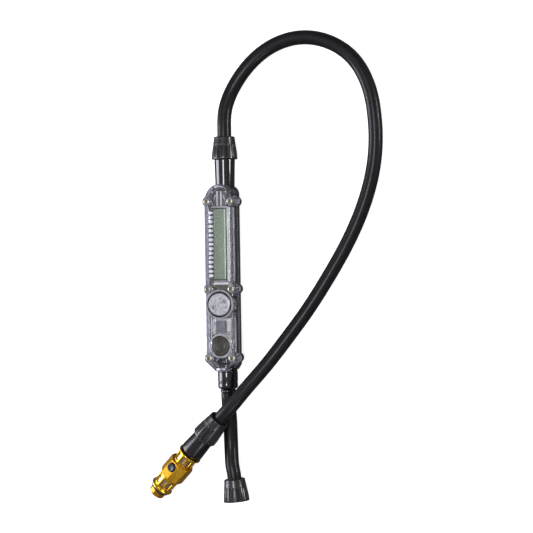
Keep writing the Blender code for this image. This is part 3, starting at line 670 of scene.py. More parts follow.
def joined(meshes):
    """Several meshes as one."""
    bm = bmesh.new()
    for mesh in meshes:
        bm.from_mesh(mesh)
        bpy.data.meshes.remove(mesh)
    mesh = bpy.data.meshes.new("part")
    bm.to_mesh(mesh)
    bm.free()
    return mesh


def cuts(*meshes):
    """Tools that take away."""
    return [(mesh, "DIFFERENCE") for mesh in meshes]


def additions(*meshes):
    """Tools that add."""
    return [(mesh, "UNION") for mesh in meshes]


def carved(base, tools):
    """A mesh after exact Booleans with (mesh, operation) tools, in their order."""
    target = bpy.data.objects.new("target", base)
    SCENE.collection.objects.link(target)
    helpers = []
    for mesh, operation in tools:
        helper = bpy.data.objects.new("helper", mesh)
        SCENE.collection.objects.link(helper)
        modifier = target.modifiers.new("cut", "BOOLEAN")
        modifier.operation = operation
        modifier.solver = "EXACT"
        modifier.object = helper
        helpers.append(helper)
    bpy.context.view_layer.update()
    graph = bpy.context.evaluated_depsgraph_get()
    result = bpy.data.meshes.new_from_object(target.evaluated_get(graph))
    for thing in [target, *helpers]:
        mesh = thing.data
        bpy.data.objects.remove(thing)
        bpy.data.meshes.remove(mesh)
    return result


def moved(mesh, place):
    """A mesh put at a place."""
    mesh.transform(place)
    return mesh


# ---- hoses

def smooth_route(points, step):
    """Even points on the natural cubic spline through a route's points."""
    knots = np.array(points, float)
    lengths = np.linalg.norm(np.diff(knots, axis=0), axis=1)
    at = np.concatenate([[0.0], np.cumsum(lengths)])
    count = len(knots)
    system = np.eye(count)
    wanted = np.zeros((count, 3))
    for i in range(1, count - 1):
        before, after = at[i] - at[i - 1], at[i + 1] - at[i]
        system[i, i - 1 : i + 2] = before, 2.0 * (before + after), after
        wanted[i] = 6.0 * ((knots[i + 1] - knots[i]) / after - (knots[i] - knots[i - 1]) / before)
    bend = np.linalg.solve(system, wanted)
    result = []
    for along in np.linspace(0.0, at[-1], round(at[-1] / step) + 1):
        i = min(int(np.searchsorted(at, along, side="right")) - 1, count - 2)
        span = at[i + 1] - at[i]
        near, far = (along - at[i]) / span, (at[i + 1] - along) / span
        curve = (far**3 - far) * bend[i] + (near**3 - near) * bend[i + 1]
        result.append(Vector(far * knots[i] + near * knots[i + 1] + curve * span**2 / 6.0))
    return result


def swept(points, radius, sides):
    """A round tube along points, with a map of turn and distance for its draw lines."""
    bm = bmesh.new()
    layer = bm.loops.layers.uv.new("hose")
    across = Vector((0.0, 0.0, 1.0))
    loops = []
    distance = []
    travelled = 0.0
    for i, point in enumerate(points):
        ahead = (points[min(i + 1, len(points) - 1)] - points[max(i - 1, 0)]).normalized()
        across = (across - ahead * across.dot(ahead)).normalized()
        side = ahead.cross(across)
        if i:
            travelled += (point - points[i - 1]).length
        distance.append(travelled)
        loop = []
        for step in range(sides):
            angle = 2.0 * math.pi * step / sides
            away = across * math.cos(angle) + side * math.sin(angle)
            loop.append(bm.verts.new((point + away * radius) * MM))
        loops.append(loop)
    for i, (lower, upper) in enumerate(zip(loops, loops[1:])):
        for step, face in enumerate(skinned(bm, lower, upper)):
            for loop, turn, row in zip(face.loops, (step, step + 1, step + 1, step), (i, i, i + 1, i + 1)):
                loop[layer].uv = (turn / sides, distance[row] / UV_LENGTH)
    bm.faces.new(loops[0])
    bm.faces.new(loops[-1])
    return mesh_from(bm)


def make_hose(node, route):
    """The fine hose that stands for a hose node, with the points that it follows in metres."""
    points = smooth_route(route, HOSE_STEP)
    mesh = swept(points, HOSE_R, HOSE_SIDES)
    hose = put(f"{node}_cover", mesh, Matrix.Identity(4), "gauge", "hose_rubber", "hose_cover", [node])
    return hose, [tuple(point * MM) for point in points]


outlet_hose, outlet_path = make_hose("outlet_hose", OUTLET_ROUTE)
inlet_hose, inlet_path = make_hose("inlet_hose", INLET_ROUTE)


# ---- nuts

NUT_RIBS = 20
NUT_SIDES = 200
NUT_BORE_R = 4.35
NUT_SOCKET_R = 5.1
NUT_SHOULDER = 4.55
NUT_NARROW_R = 5.95
NUT_WIDE_R = 7.35
NUT_PITCH = 1.0
SPIGOT_THREAD_R = 4.45
SPIGOT_THREAD_DEPTH = 0.32


def ramped(value, low, high):
    """A smooth step from 0 to 1."""
    t = min(1.0, max(0.0, (value - low) / (high - low)))
    return t * t * (3.0 - 2.0 * t)


def nut_outside(height, length):
    """The ribbed outer radius of a nut at a height, as a function of the angle."""
    share = height / length
    skin = NUT_NARROW_R - 0.3 * (1.0 - ramped(height, 0.0, 0.5))
    skin += (NUT_WIDE_R - NUT_NARROW_R) * ramped(share, 0.0, 1.0) ** 0.85
    collar = ramped(share, 0.925, 0.94) * (1.0 - 0.25 * ramped(share, 0.975, 1.0))

    def radius(angle):
        wave = 0.5 + 0.5 * math.cos(angle * NUT_RIBS)
        start = 0.37 - 0.10 * wave
        groove = ramped(1.0 - wave, 0.34, 0.86) * ramped(share, start, start + 0.10)
        return min(skin - 0.62 * groove * (1.0 - collar), NUT_WIDE_R)
    return radius


def threaded(radius, depth, height, pitch):
    """The radius of a screw thread cut outwards into a bore, as a function of the angle."""
    def reach(angle):
        phase = (height / pitch - angle / (2.0 * math.pi)) % 1.0
        return radius + depth * (1.0 - abs(2.0 * phase - 1.0))
    return reach


def thread_rings(radius, depth, start, end, step=0.125, pitch=NUT_PITCH):
    """The rings of a screw thread from one height to another."""
    return [(height, threaded(radius, depth, height, pitch)) for height in np.arange(start, end, step)]


def make_nut(node, length, line):
    """A ribbed nut with a rounded narrow end, a thin collar and a threaded socket."""
    rings = [(0.0, NUT_BORE_R + 0.25), (0.0, NUT_NARROW_R - 0.6)]
    heights = [0.05, 0.15, 0.3, 0.5, *np.linspace(0.8, 0.915 * length, 30)]
    heights += [share * length for share in (0.925, 0.932, 0.94, 0.955, 0.97, 0.985, 1.0)]
    rings += [(h, nut_outside(h, length)) for h in heights]
    rings.append((length, NUT_SOCKET_R + 0.45))
    rings += thread_rings(NUT_SOCKET_R, 0.3, length - 0.4, NUT_SHOULDER + 0.3, -0.125)
    rings += [(NUT_SHOULDER, NUT_SOCKET_R), (NUT_SHOULDER, NUT_BORE_R), (0.25, NUT_BORE_R)]
    mesh = lathe(rings, NUT_SIDES, closed=True)
    return put(f"{node}_ribbed", mesh, line, node, "black_plastic", "nut_black", [node])


outlet_nut = make_nut("outlet_nut", 12.75, OUTLET_LINE)
chuck_nut = make_nut("chuck_nut", 14.7, CHUCK_NUT_LINE)
pump_nut = make_nut("pump_nut", 12.75, PUMP_LINE)


# ---- air tube and its ends

def make_tube():
    """The turned air tube with its two spigots and the thread under the outlet nut."""
    top, bottom = TUBE_HIGH.y, TUBE_LOW.y
    collar = 63.2
    outside = [
        (bottom, 4.9), (bottom + 0.8, 5.7), (bottom + 3.1, 5.7), (bottom + 3.3, 5.5), (bottom + 3.8, 5.5),
        (bottom + 4.0, 5.7), (COVER_BOTTOM - 1.0, 5.7), (COVER_BOTTOM - 0.6, 5.5), (-53.6, 5.5),
        (-52.8, 3.4), (42.7, 3.4), (43.5, 5.5), (COVER_TOP, 5.5), (62.75, 5.85), (collar, 5.7), (collar, 4.6),
    ]
    rings = softened([(bottom, 1.6), *outside], 0.25)
    rings += thread_rings(SPIGOT_THREAD_R, SPIGOT_THREAD_DEPTH, 63.5, top - 0.4)
    rings += [(top, 4.3), (top, 1.6)]
    mesh = lathe(rings, closed=True)
    put("air_tube", mesh, GAUGE_LINE, "gauge", "black_anodised", "tube_black", ["manifold_tube"])


def make_ferrule():
    """A crimped collar at the start of the inlet hose."""
    low, high = box_mm("inlet_ferrule")
    start, end = low.y, high.y

    def crimped(angle):
        return 4.34 - 0.22 * ramped(math.cos(angle * 8), 0.3, 0.9)

    rings = [
        (start, 1.6), (start, 4.0), (start + 0.15, 4.3), (start + 0.5, 4.4), (start + 0.6, crimped),
        (end - 0.6, crimped), (end - 0.5, 4.4), (end - 0.15, 4.3), (end, 4.0), (end, 1.6),
    ]
    mesh = lathe(rings, 96, closed=True)
    put("ferrule_crimped", mesh, GAUGE_LINE, "gauge", "black_anodised", "spigot_black", ["inlet_ferrule"])


make_tube()
make_ferrule()


# ---- housing

def mirrored(right):
    """A closed outline from its right half."""
    return right + [(-x, y) for x, y in reversed(right)]


def housing_outline(steps=14):
    """The plan of the cover: arched top, six ears and a narrowed chin, anticlockwise."""
    reach = math.sqrt(EAR_R**2 - (COVER_HALF - SCREW_X) ** 2)
    flare = math.asin(reach / EAR_R)
    right = [(x, COVER_BOTTOM) for x in (1.2, CHIN_HALF - 0.5)]
    for row in SCREW_ROWS:
        first = -math.radians(60.0) if row == min(SCREW_ROWS) else -flare
        last = math.radians(66.0) if row == max(SCREW_ROWS) else flare
        right += arc(SCREW_X, row, EAR_R, EAR_R, first, last, steps)
    first = math.asin((right[-1][1] - ARCH_Y) / ARCH_RISE)
    right += arc(0.0, ARCH_Y, COVER_HALF, ARCH_RISE, first, math.pi / 2, steps)[1:]
    right[-1] = (0.6, COVER_TOP)
    return mirrored(right)


def arched_outline(inset, steps=12):
    """The cover's plan without ears, drawn in by an inset, with its round top."""
    half = COVER_HALF - inset
    bottom = COVER_BOTTOM + inset
    right = [
        (CHIN_HALF - 0.6, bottom), (CHIN_HALF + 0.5, bottom + 0.4), (half - 0.5, bottom + 4.5),
        (half, bottom + 5.6), *arc(0.0, ARCH_Y, half, ARCH_RISE - inset, 0.0, math.pi / 2, steps),
    ]
    right[-1] = (0.5, right[-1][1])
    return mirrored(right)


def posts(profile):
    """An upright turned tool at every screw."""
    return [moved(lathe(profile, 40), upright(x, y)) for x, y in SCREW_SPOTS]


def disc_tool(profile, y):
    """A turned tool on the housing's middle line."""
    return moved(lathe(profile), upright(0.0, y))


def tube_tools():
    """The holes for the air tube in both end walls."""
    ends = ((COVER_BOTTOM - 2.0, INSIDE_LOW + 0.1), (INSIDE_HIGH - 0.1, COVER_TOP + 2.0))
    return cuts(*(moved(lathe([(low, 5.8), (high, 5.8)]), GAUGE_LINE) for low, high in ends))


def cover_zone(mesh, face):
    """A cover face's finish: 0 outside, 1 inside, 2 on the moulded rims and joint, frosted and partly a painted
    reflection, 3 on the round edge, a painted shade.
    """
    points = [mesh.vertices[index].co / MM for index in face.vertices]
    around_cell = [math.hypot(point.x, point.y - CELL_Y) for point in points]
    around_button = [math.hypot(point.x, point.y - BUTTON_Y) for point in points]
    low, high = min(point.z for point in points), max(point.z for point in points)
    on_rim = RIM_WELL_R - 0.2 < min(around_cell) and max(around_cell) < RIM_R + 0.1
    on_lip = LIP_HOLE_R - 0.1 < min(around_button) and max(around_button) < LIP_R + 0.1
    # rims round the cell and button: frosted, partly a painted reflection
    if low > CEILING_Z + 0.05 and (on_rim or on_lip):
        return 2
    seats = [max(math.hypot(point.x - x, point.y - y) for point in points) for x, y in SCREW_SPOTS]
    near_top = FRONT_Z - 0.9 < low < FRONT_Z - 0.01
    clear_of_rims = min(around_cell) > RIM_R + 0.05 and min(around_button) > LIP_R + 0.05
    # the round top edge takes the dark painted shade
    if near_top and min(seats) > SEAT_R + 0.25 and clear_of_rims:
        return 3
    centre = face.center / MM
    at_end = centre.y > COVER_TOP - COVER_WALL or centre.y < COVER_BOTTOM + COVER_WALL
    # joint faces and low end walls: frosted, partly a painted reflection that shows as a bright band
    if high < PARTING_Z + 0.1 or (at_end and high < BOARD_TOP_Z + 1.6):
        return 2
    return int(abs(centre.x) < COVER_HALF - 0.8 and centre.z < FRONT_Z - 0.4)


def make_cover():
    """The clear cover: rounded edges, screw pillars, a rim round the cell and a lip round the button."""
    outline = housing_outline()
    layers = [(PARTING_Z, drawn_in(outline, 0.12)), (PARTING_Z + 0.12, outline)]
    layers += [(FRONT_Z - short, shape) for short, shape in rounded(outline, 0.85, 5)]
    inner = arched_outline(COVER_WALL)
    hollow = layered([
        (PARTING_Z - 1.0, inner), (CEILING_Z - 0.5, inner), (CEILING_Z - 0.15, drawn_in(inner, 0.15)),
        (CEILING_Z, drawn_in(inner, 0.5)),
    ])
    pillars = posts([(PARTING_Z - 2.0, PILLAR_R), (FRONT_Z, PILLAR_R)])
    rim = softened([
        (BOARD_TOP_Z + 0.3, RIM_R), (RIM_Z - 0.35, RIM_R), (RIM_Z, RIM_R - 0.35), (RIM_Z, RIM_R - 0.5),
    ], 0.2)
    lip = [
        (FRONT_Z - 0.3, LIP_R), (FRONT_Z, LIP_R), (FRONT_Z + 0.18, LIP_R - 0.15),
        (FRONT_Z + 0.22, LIP_R - 0.4),
    ]
    well = [
        (BOARD_TOP_Z - 1.0, 6.6), (CEILING_Z, 6.6), (CEILING_Z, RIM_WELL_R), (RIM_Z - 0.25, RIM_WELL_R),
        (RIM_Z + 1.0, RIM_WELL_R + 0.9),
    ]
    hole = [(CEILING_Z - 1.0, LIP_HOLE_R), (FRONT_Z, LIP_HOLE_R), (FRONT_Z + 1.0, LIP_HOLE_R + 0.8)]
    seat = [(SCREW_TOP_Z - 1.7, SEAT_R), (FRONT_Z - 0.2, SEAT_R), (FRONT_Z + 0.8, SEAT_R + 1.0)]
    tools = [
        *cuts(carved(hollow, cuts(*pillars))),
        *additions(disc_tool(rim, CELL_Y), disc_tool(lip, BUTTON_Y)),
        *cuts(disc_tool(well, CELL_Y), disc_tool(hole, BUTTON_Y)),
        *cuts(*posts([(PARTING_Z - 1.0, SCREW_HOLE_R), (FRONT_Z + 1.0, SCREW_HOLE_R)]), *posts(seat)),
        *tube_tools(),
    ]
    mesh = carved(layered(layers), tools)
    indices = [cover_zone(mesh, face) for face in mesh.polygons]
    cover = fixed("cover_clear_case", mesh, "clear_cover", list(CLEAR_FINISHES), ["front_cover"], 32.0)
    cover.data.polygons.foreach_set("material_index", indices)


def shell_section(radius, floor_z, top_z, top_half, steps=20):
    """Half-round section in (height, x) with a flat land, its sides upright above its top."""
    start = math.asin((AXIS_Z - floor_z) / radius)
    side = [(height, x) for x, height in arc(0.0, 0.0, radius, radius, -start, 0.0, steps)]
    side += [(top_z - AXIS_Z, top_half), (top_z - AXIS_Z + 2.0, top_half)]
    return side + [(height, -x) for height, x in reversed(side)]


def make_shell():
    """The half-round rear shell with ears, round edges and plain moulding marks on its back."""
    top = SHELL_TOP_Z
    land = math.sqrt(REAR_R**2 - AXIS_Z**2)
    section = shell_section(REAR_R, 0.0, top, SHELL_TOP_HALF)
    base = moved(prism(section, COVER_BOTTOM - 1.0, COVER_TOP + 1.0), GAUGE_LINE)
    hollow = shell_section(6.4, AXIS_Z - 5.0, top + 4.0, 6.4)
    panel = [(-land + 0.7, -40.0), (land - 0.7, -40.0), (land - 0.7, 30.0), (-land + 0.7, 30.0)]
    above = [(-20.0, -90.0), (20.0, -90.0), (20.0, 90.0), (-20.0, 90.0)]
    tools = [
        (prism(arched_outline(0.0), -1.0, top + 4.0), "INTERSECT"),
        *cuts(moved(prism(hollow, INSIDE_LOW, INSIDE_HIGH), GAUGE_LINE)),
        *additions(*posts([(6.9, EAR_R), (top + 1.0, EAR_R)])),
        *cuts(*posts([(7.7, SCREW_HOLE_R), (top + 4.0, SCREW_HOLE_R)])),
        *tube_tools(),
        *cuts(prism(panel, -1.0, 0.25), prism(above, top, top + 9.0)),
    ]
    mesh = carved(base, tools)
    shell = fixed("shell_moulded", mesh, "black_plastic", "shell_black", ["rear_shell"], 30.0)
    bevel = shell.modifiers.new("edges", "BEVEL")
    bevel.width = 0.18 * MM
    bevel.segments = 2
    bevel.limit_method = "ANGLE"
    bevel.angle_limit = math.radians(40.0)
    bevel.harden_normals = False


def make_gasket():
    """The soft gasket in the joint between cover and shell, pale so that it shows as a bright band through the cover's
    walls: partly a painted reflection.
    """
    outer = drawn_in(arched_outline(0.0), 0.3)
    inner = drawn_in(arched_outline(0.0), 1.55)
    low, high = SHELL_TOP_Z, PARTING_Z
    middle = (low + high) / 2
    rows = [(middle, drawn_in(outer, -0.08)), (high, outer), (high, inner), (low, inner), (low, outer)]
    mesh = carved(layered(rows, closed=True), tube_tools())
    fixed("housing_gasket", mesh, "seal_rubber", "gasket_pale")


def polygon(across_flats, sides=6):
    """Radius of an even-sided polygon with a flat at angle zero."""
    half = math.pi / sides

    def radius(angle):
        turned = (angle + half) % (2.0 * half) - half
        return across_flats / 2.0 / math.cos(turned)
    return radius


def make_screws():
    """Six socket-head screws with a chamfered rim and a dull recess."""
    head = SCREW_TOP_Z
    under = head - 1.4
    rings = [
        (8.0, 0.7), (8.3, 1.0), (under, 1.0), (under, 1.75), (under + 0.1, 1.9), (head - 0.35, 1.9),
        (head - 0.12, 1.82), (head, 1.6), (head, 1.12), (head - 0.12, polygon(1.78)),
        (head - 0.9, polygon(1.7)),
    ]
    recess_row = 8
    recess_floor = 1
    for number, (x, y) in enumerate(SCREW_SPOTS, start=1):
        mesh = lathe(rings, 48, shade=lambda row, step: int(row >= recess_row))
        indices = [face.material_index for face in mesh.polygons]
        indices[recess_floor] = 1
        looks = ["screw_steel", "screw_recess"]
        screw = put(f"screw_{number}", mesh, upright(x, y), "gauge", "screw_steel", looks,
                    [f"cover_screw_{number}"])
        screw.data.polygons.foreach_set("material_index", indices)


make_cover()
make_shell()
make_gasket()
make_screws()


# ---- inside the cover

def make_display():
    """The display: dark edge, grey-green face and the paler strip where its glass is cut."""
    low, high = GLASS_LOW, GLASS_HIGH
    body = bevelled_box(low, high - Vector((0.0, 0.0, 0.06)), 0.12)
    fixed("display_body", body, "lcd_glass", "display_rim", ["lcd_glass"])
    face_low = Vector((low.x + 0.2, low.y + 1.0, high.z - 0.3))
    face = bevelled_box(face_low, (high.x - 1.3, high.y - 1.0, high.z), 0.05)
    fixed("display_face", face, "lcd_glass", "display_green")
    strip_low = (high.x - 1.26, low.y + 1.0, high.z - 0.3)
    strip = bevelled_box(strip_low, (high.x - 0.45, high.y - 1.0, high.z), 0.05)
    fixed("display_strip", strip, "lcd_glass", "display_edge")


def make_pins():
    """The comb of tinned pins with their solder blobs, in a dark header."""
    pitch, count = 2.54, 15
    first = (PINS_LOW.y + PINS_HIGH.y) / 2 - pitch * (count - 1) / 2
    rows = []
    for index in range(count):
        y = first + pitch * index
        rows.append((-6.85, y - 0.92, 15.2, -5.1, y + 0.92, 16.4, 0.42))
        rows.append((-5.0, y - 0.62, 15.2, -4.3, y + 0.62, 16.2, 0.2))
    fixed("display_pins", blocks(*rows), "pin_steel", "pin_tinned", ["lcd_pins"])
    header = bevelled_box((-6.2, PINS_LOW.y - 0.2, 13.4), (-4.5, PINS_HIGH.y + 0.2, 15.3), 0.15)
    fixed("display_header", header, "black_plastic", "display_rim")


def make_carrier():
    """Pale moulded rails beside and below the display."""
    rail = (4.75, -6.0, 13.3, 6.3, 35.6, 15.4, 0.2)
    step = (4.2, -6.0, 13.3, 5.0, 35.6, 16.2, 0.15)
    ledge = (-4.4, -8.2, 13.3, 4.6, -6.7, 16.0, 0.25)
    shelf = (-4.6, 35.45, 13.3, 4.6, 35.95, 16.6, 0.12)
    fixed("display_carrier", blocks(rail, step, ledge, shelf), "lcd_frame_plastic", "carrier_pale")


def make_bridge():
    """The moulded bridge over the sensor, with a raised border, two pale ribs and two brass pins."""
    low, high = box_mm("sensor_bridge")
    shoulder, top, narrow, wide = 43.4, high.y, 4.2, 5.3
    right = [
        (3.9, low.y), (3.9, 40.3), (4.1, 41.0), (wide - 0.3, 41.5), (wide - 0.1, 41.9), (wide - 0.3, 42.6),
        (wide - 0.9, shoulder + 0.4), (narrow - 0.6, top - 0.9), (narrow - 1.2, top - 0.6),
    ]
    outline = mirrored(right)
    plate = pillow(outline, 15.4, 16.0, 0.15)
    opening = prism(drawn_in(outline, 0.55), 15.0, 17.5)
    border = carved(pillow(outline, 15.6, 16.45, 0.18), cuts(opening))
    legs = [moved(lathe([(low.z, 0.6), (15.8, 0.6)], 24), upright(x, 43.9)) for x in (-4.1, 4.1)]
    fixed("bridge_plate", joined([plate, border, *legs]), "chip_epoxy", "bridge_grey", ["sensor_bridge"])
    ribs = [bevelled_box((x - 0.45, 36.4, 15.8), (x + 0.45, 44.6, high.z), 0.2) for x in (-1.15, 1.15)]
    struts = []
    for side in (-1.0, 1.0):
        place = upright(side * 3.3, 39.6, 16.1) @ Matrix.Rotation(side * 0.32, 4, "Z")
        struts.append(moved(bevelled_box((-0.2, -3.0, -0.3), (0.2, 3.2, 0.3), 0.12), place))
    fixed("bridge_ribs", joined(ribs + struts), "lcd_frame_plastic", "carrier_pale")
    profile = [(15.8, 0.55), (16.7, 0.55), (16.95, 0.4), (17.0, 0.15)]
    pins = [moved(lathe(profile, 24), upright(x, 44.3)) for x in (-4.1, 4.1)]
    fixed("bridge_contacts", joined(pins), "contact_brass", "contact_brass")


PART_SPOTS = [
    (-5.2, -27.6), (-5.2, -29.8), (-5.3, -33.0), (5.3, -28.4), (-5.4, -36.9), (5.4, -37.6), (-2.6, -45.4),
    (2.9, -45.6), (0.4, -45.4), (-5.3, -8.6), (4.9, -8.9),
]


def make_small_parts():
    """Small parts on the board: a metal end cap under a dark body."""
    metal, dark = [], []
    z = BOARD_TOP_Z
    for index, (x, y) in enumerate(PART_SPOTS):
        across, along = (0.45, 0.8) if index % 2 else (0.8, 0.45)
        metal.append((x - across, y - along, z, x + across, y + along, z + 0.75, 0.1))
        across, along = across * 0.6, along * 0.6
        dark.append((x - across, y - along, z + 0.3, x + across, y + along, z + 0.85, 0.06))
    fixed("board_parts_metal", blocks(*metal), "contact_brass", "contact_brass")
    fixed("board_parts_dark", blocks(*dark), "chip_epoxy", "bridge_grey")


def make_spacers():
    """Moulded spacers beside the module, the lower carrier and the collar round the button."""
    spacers = blocks(
        (3.1, CHIP_LOW.y + 0.4, 13.2, 5.9, CHIP_HIGH.y + 1.2, 16.2, 0.4),
        (-6.1, CHIP_LOW.y - 1.0, 13.2, -3.6, CHIP_HIGH.y + 1.6, 14.6, 0.3),
        (4.3, -37.9, 13.2, 6.1, -36.4, 15.4, 0.3),
    )
    fixed("module_spacers", spacers, "lcd_frame_plastic", "spacer_milky")
    plate = (-6.3, -36.4, 13.15, 6.3, -27.2, 13.38, 0.1)
    rail = (-6.6, -47.0, 13.2, -6.1, -26.5, 15.2, 0.15)
    far_rail = (6.2, -47.0, 13.2, 6.6, -26.5, 14.6, 0.15)
    fixed("lower_carrier", blocks(plate, rail, far_rail), "lcd_frame_plastic", "carrier_pale")
    section = softened([
        (14.7, 6.45), (14.7, 6.95), (16.7, 6.95), (16.95, 6.8), (16.95, 6.5), (16.7, 6.42), (14.7, 6.45),
    ], 0.06)
    collar = lathe(section[:-1], 96, closed=True)
    put("button_collar", collar, upright(0.0, BUTTON_Y), "gauge", "lcd_frame_plastic", "carrier_pale")


def make_module():
    """The grey module under the cover, with shallow bars across its top."""
    low, high = CHIP_LOW, CHIP_HIGH
    rows = [(*low, high.x, high.y, high.z - 0.25, 0.2)]
    bars = 5
    pitch = (high.y - low.y) / bars
    for index in range(bars):
        start = low.y + pitch * index + 0.12
        rows.append((low.x + 0.2, start, high.z - 0.5, high.x - 0.2, start + pitch - 0.24, high.z, 0.12))
    fixed("sensor_module", blocks(*rows), "chip_epoxy", "module_grey", ["controller_chip"])


def rounded_slot(length, width, steps=12):
    """A straight slot's outline with round ends."""
    end = width / 2
    middle = length / 2 - end
    quarter = math.pi / 2
    right = arc(middle, 0.0, end, end, -quarter, quarter, steps)
    return right + arc(-middle, 0.0, end, end, quarter, 3 * quarter, steps)


def make_cap():
    """The slotted cell cap: blasted face, chamfered rim and two dimples for a key."""
    low, high = CAP_LOW.z, CAP_HIGH.z
    rings = softened([
        (low, 5.9), (low + 0.3, 6.25), (CEILING_Z + 0.3, 6.25), (CEILING_Z + 0.3, CAP_R),
        (high - 0.45, CAP_R), (high, CAP_R - 0.4), (high, CAP_R - 1.0),
    ], 0.18)
    turn = Matrix.Rotation(math.radians(28.0), 4, "Z")
    slot = moved(prism(rounded_slot(6.6, 1.1), high - 0.22, high + 1.0), turn)
    dimples = [
        moved(lathe([(high - 0.75, 0.55), (high - 0.3, 1.0), (high + 0.3, 1.1)], 32), turn @ upright(x))
        for x in (-3.7, 3.7)
    ]
    mesh = carved(lathe(rings, 96), cuts(slot, *dimples))
    place = upright(0.0, CELL_Y)
    put("cap_slotted", mesh, place, "battery_cap", "cap_metal", "cap_blasted", ["battery_cap"])
    seal = ring_seal(CAP_R + 0.42, 0.72, CEILING_Z + 0.85)
    put("cap_ring", seal, place, "cap_lift", "seal_rubber", "seal_black", ["cap_seal"])


def make_button():
    """The rubber button: rolled edge, outer ledge and a dished middle with a fine ring."""
    top = BUTTON_HIGH.z
    rings = softened([
        (15.5, 1.4), (15.9, 1.4), (15.9, 6.3), (CEILING_Z - 0.4, 6.3), (CEILING_Z - 0.4, 5.45),
        (top - 0.75, 5.45), (top - 0.3, 5.2), (top - 0.15, 4.7), (top - 0.28, 4.35), (top - 0.28, 3.75),
        (top, 3.45), (top, 3.1), (top - 0.18, 2.9), (top - 0.32, 1.6), (top - 0.34, 0.6),
    ], 0.16)
    put("button_dished", lathe(rings, 96), upright(0.0, BUTTON_Y), "power_button", "button_rubber",
        "button_rubber", ["power_button"])


make_display()
make_pins()
make_carrier()
make_bridge()
make_small_parts()
make_spacers()
make_module()
make_cap()
make_button()


# ---- chuck

CHUCK_SIDES = 240
FLUTED_R = 5.95
FLANGE_R = 7.15
BLOCK_FROM = 8.3
BLOCK_TO = 19.5
BLOCK_FLATS = 14.0
LOW_FLANGE = 28.2
CHUCK_TIP = 34.7
WINDOWS = 10
WINDOW_DEPTH = 0.75
WINDOW_HALF_TURN = 1.25 / FLUTED_R
BLEED_PLACE = Matrix.Translation((0.0, 0.0, 12.0 * MM)) @ Matrix.Rotation(math.pi / 2, 4, "Y")
WINDOW_MIDDLES = (4.85, 23.9)


def window_share(height, angle):
    """How far a point of the fluted skin is inside a window, from 0 to 1."""
    pitch = 2.0 * math.pi / WINDOWS
    offset = abs((angle % pitch) - pitch / 2)
    across = 1.0 - ramped(offset, WINDOW_HALF_TURN - 0.03, WINDOW_HALF_TURN + 0.03)
    best = 0.0
    for middle in WINDOW_MIDDLES:
        along = 1.0 - ramped(abs(height - middle), 2.15, 2.4)
        best = max(best, along * across)
    return best


def cage_radius(height):
    """The fluted skin with its windows at a height."""
    return lambda angle: FLUTED_R - WINDOW_DEPTH * window_share(height, angle)


def block_radius(limit):
    """An octagon cut back to a cone's radius."""
    flat = polygon(BLOCK_FLATS, 8)
    return lambda angle: min(flat(angle), limit)


def window_heights(start, end, middle):
    """Heights along a fluted stretch, closer at the windows' ends."""
    offsets = (-2.5, -2.4, -2.3, -2.2, -2.1, -1.2, 0.0, 1.2, 2.1, 2.2, 2.3, 2.4, 2.5)
    return [start, *(middle + offset for offset in offsets), end]


def make_chuck_body():
    """The gold body: thin flange, caged sleeves, chamfered octagon, lower flange and bore."""
    rings = softened([
        (0.3, 3.45), (0.3, FLANGE_R - 0.25), (0.75, FLANGE_R), (1.15, FLANGE_R), (1.6, FLUTED_R + 0.1),
    ], 0.12)
    rings += [(h, cage_radius(h)) for h in window_heights(1.75, BLOCK_FROM - 0.15, WINDOW_MIDDLES[0])]
    rings += [
        (BLOCK_FROM, FLUTED_R + 0.1), (BLOCK_FROM + 0.02, block_radius(7.0)),
        (BLOCK_FROM + 0.2, block_radius(7.3)), (BLOCK_FROM + 0.5, block_radius(7.54)),
        (BLOCK_TO - 0.5, block_radius(7.54)), (BLOCK_TO - 0.2, block_radius(7.3)),
        (BLOCK_TO - 0.02, block_radius(7.0)), (BLOCK_TO, FLUTED_R + 0.1),
    ]
    far_heights = window_heights(BLOCK_TO + 0.15, LOW_FLANGE - 0.4, WINDOW_MIDDLES[1])
    rings += [
        *((h, cage_radius(h)) for h in far_heights),
        (LOW_FLANGE - 0.1, FLUTED_R + 0.15), (LOW_FLANGE + 0.15, 6.5), (LOW_FLANGE + 0.35, 6.65),
        (LOW_FLANGE + 0.8, 6.65), (LOW_FLANGE + 1.1, 6.4), (LOW_FLANGE + 1.2, 6.1), (LOW_FLANGE + 1.2, 4.8),
        (21.3, 4.8), (21.3, 2.2), (6.2, 2.2), (6.2, 3.45),
    ]

    def shade(row, step):
        height = (rings[row][0] + rings[(row + 1) % len(rings)][0]) / 2
        angle = 2.0 * math.pi * (step + 0.5) / CHUCK_SIDES
        outside = 1.5 < height < LOW_FLANGE and row < len(rings) - 6
        return int(outside and window_share(height, angle) > 0.97)

    mesh = lathe(rings, CHUCK_SIDES, closed=True, shade=shade)
    pocket = moved(lathe([(1.0, 1.1), (4.4, 1.1), (4.4, 2.85), (7.0, 2.85), (9.0, 4.4)], 48), BLEED_PLACE)
    mesh.materials.append(LOOKS["gold_anodised"])
    mesh.materials.append(LOOKS["sleeve_silver"])
    mesh = carved(mesh, cuts(pocket))
    indices = []
    for face in mesh.polygons:
        out = math.hypot(face.center.x, face.center.y) / MM
        on_block = BLOCK_FROM < face.center.z / MM < BLOCK_TO and out > FLUTED_R
        indices.append(2 if on_block else min(face.material_index, 1))
    looks = ["gold_anodised", "sleeve_silver", "gold_satin"]
    body = put("chuck_gold", mesh, CHUCK_LINE, "chuck", "gold_anodised", looks, ["chuck_body"], 30.0)
    body.data.polygons.foreach_set("material_index", indices)
    return body


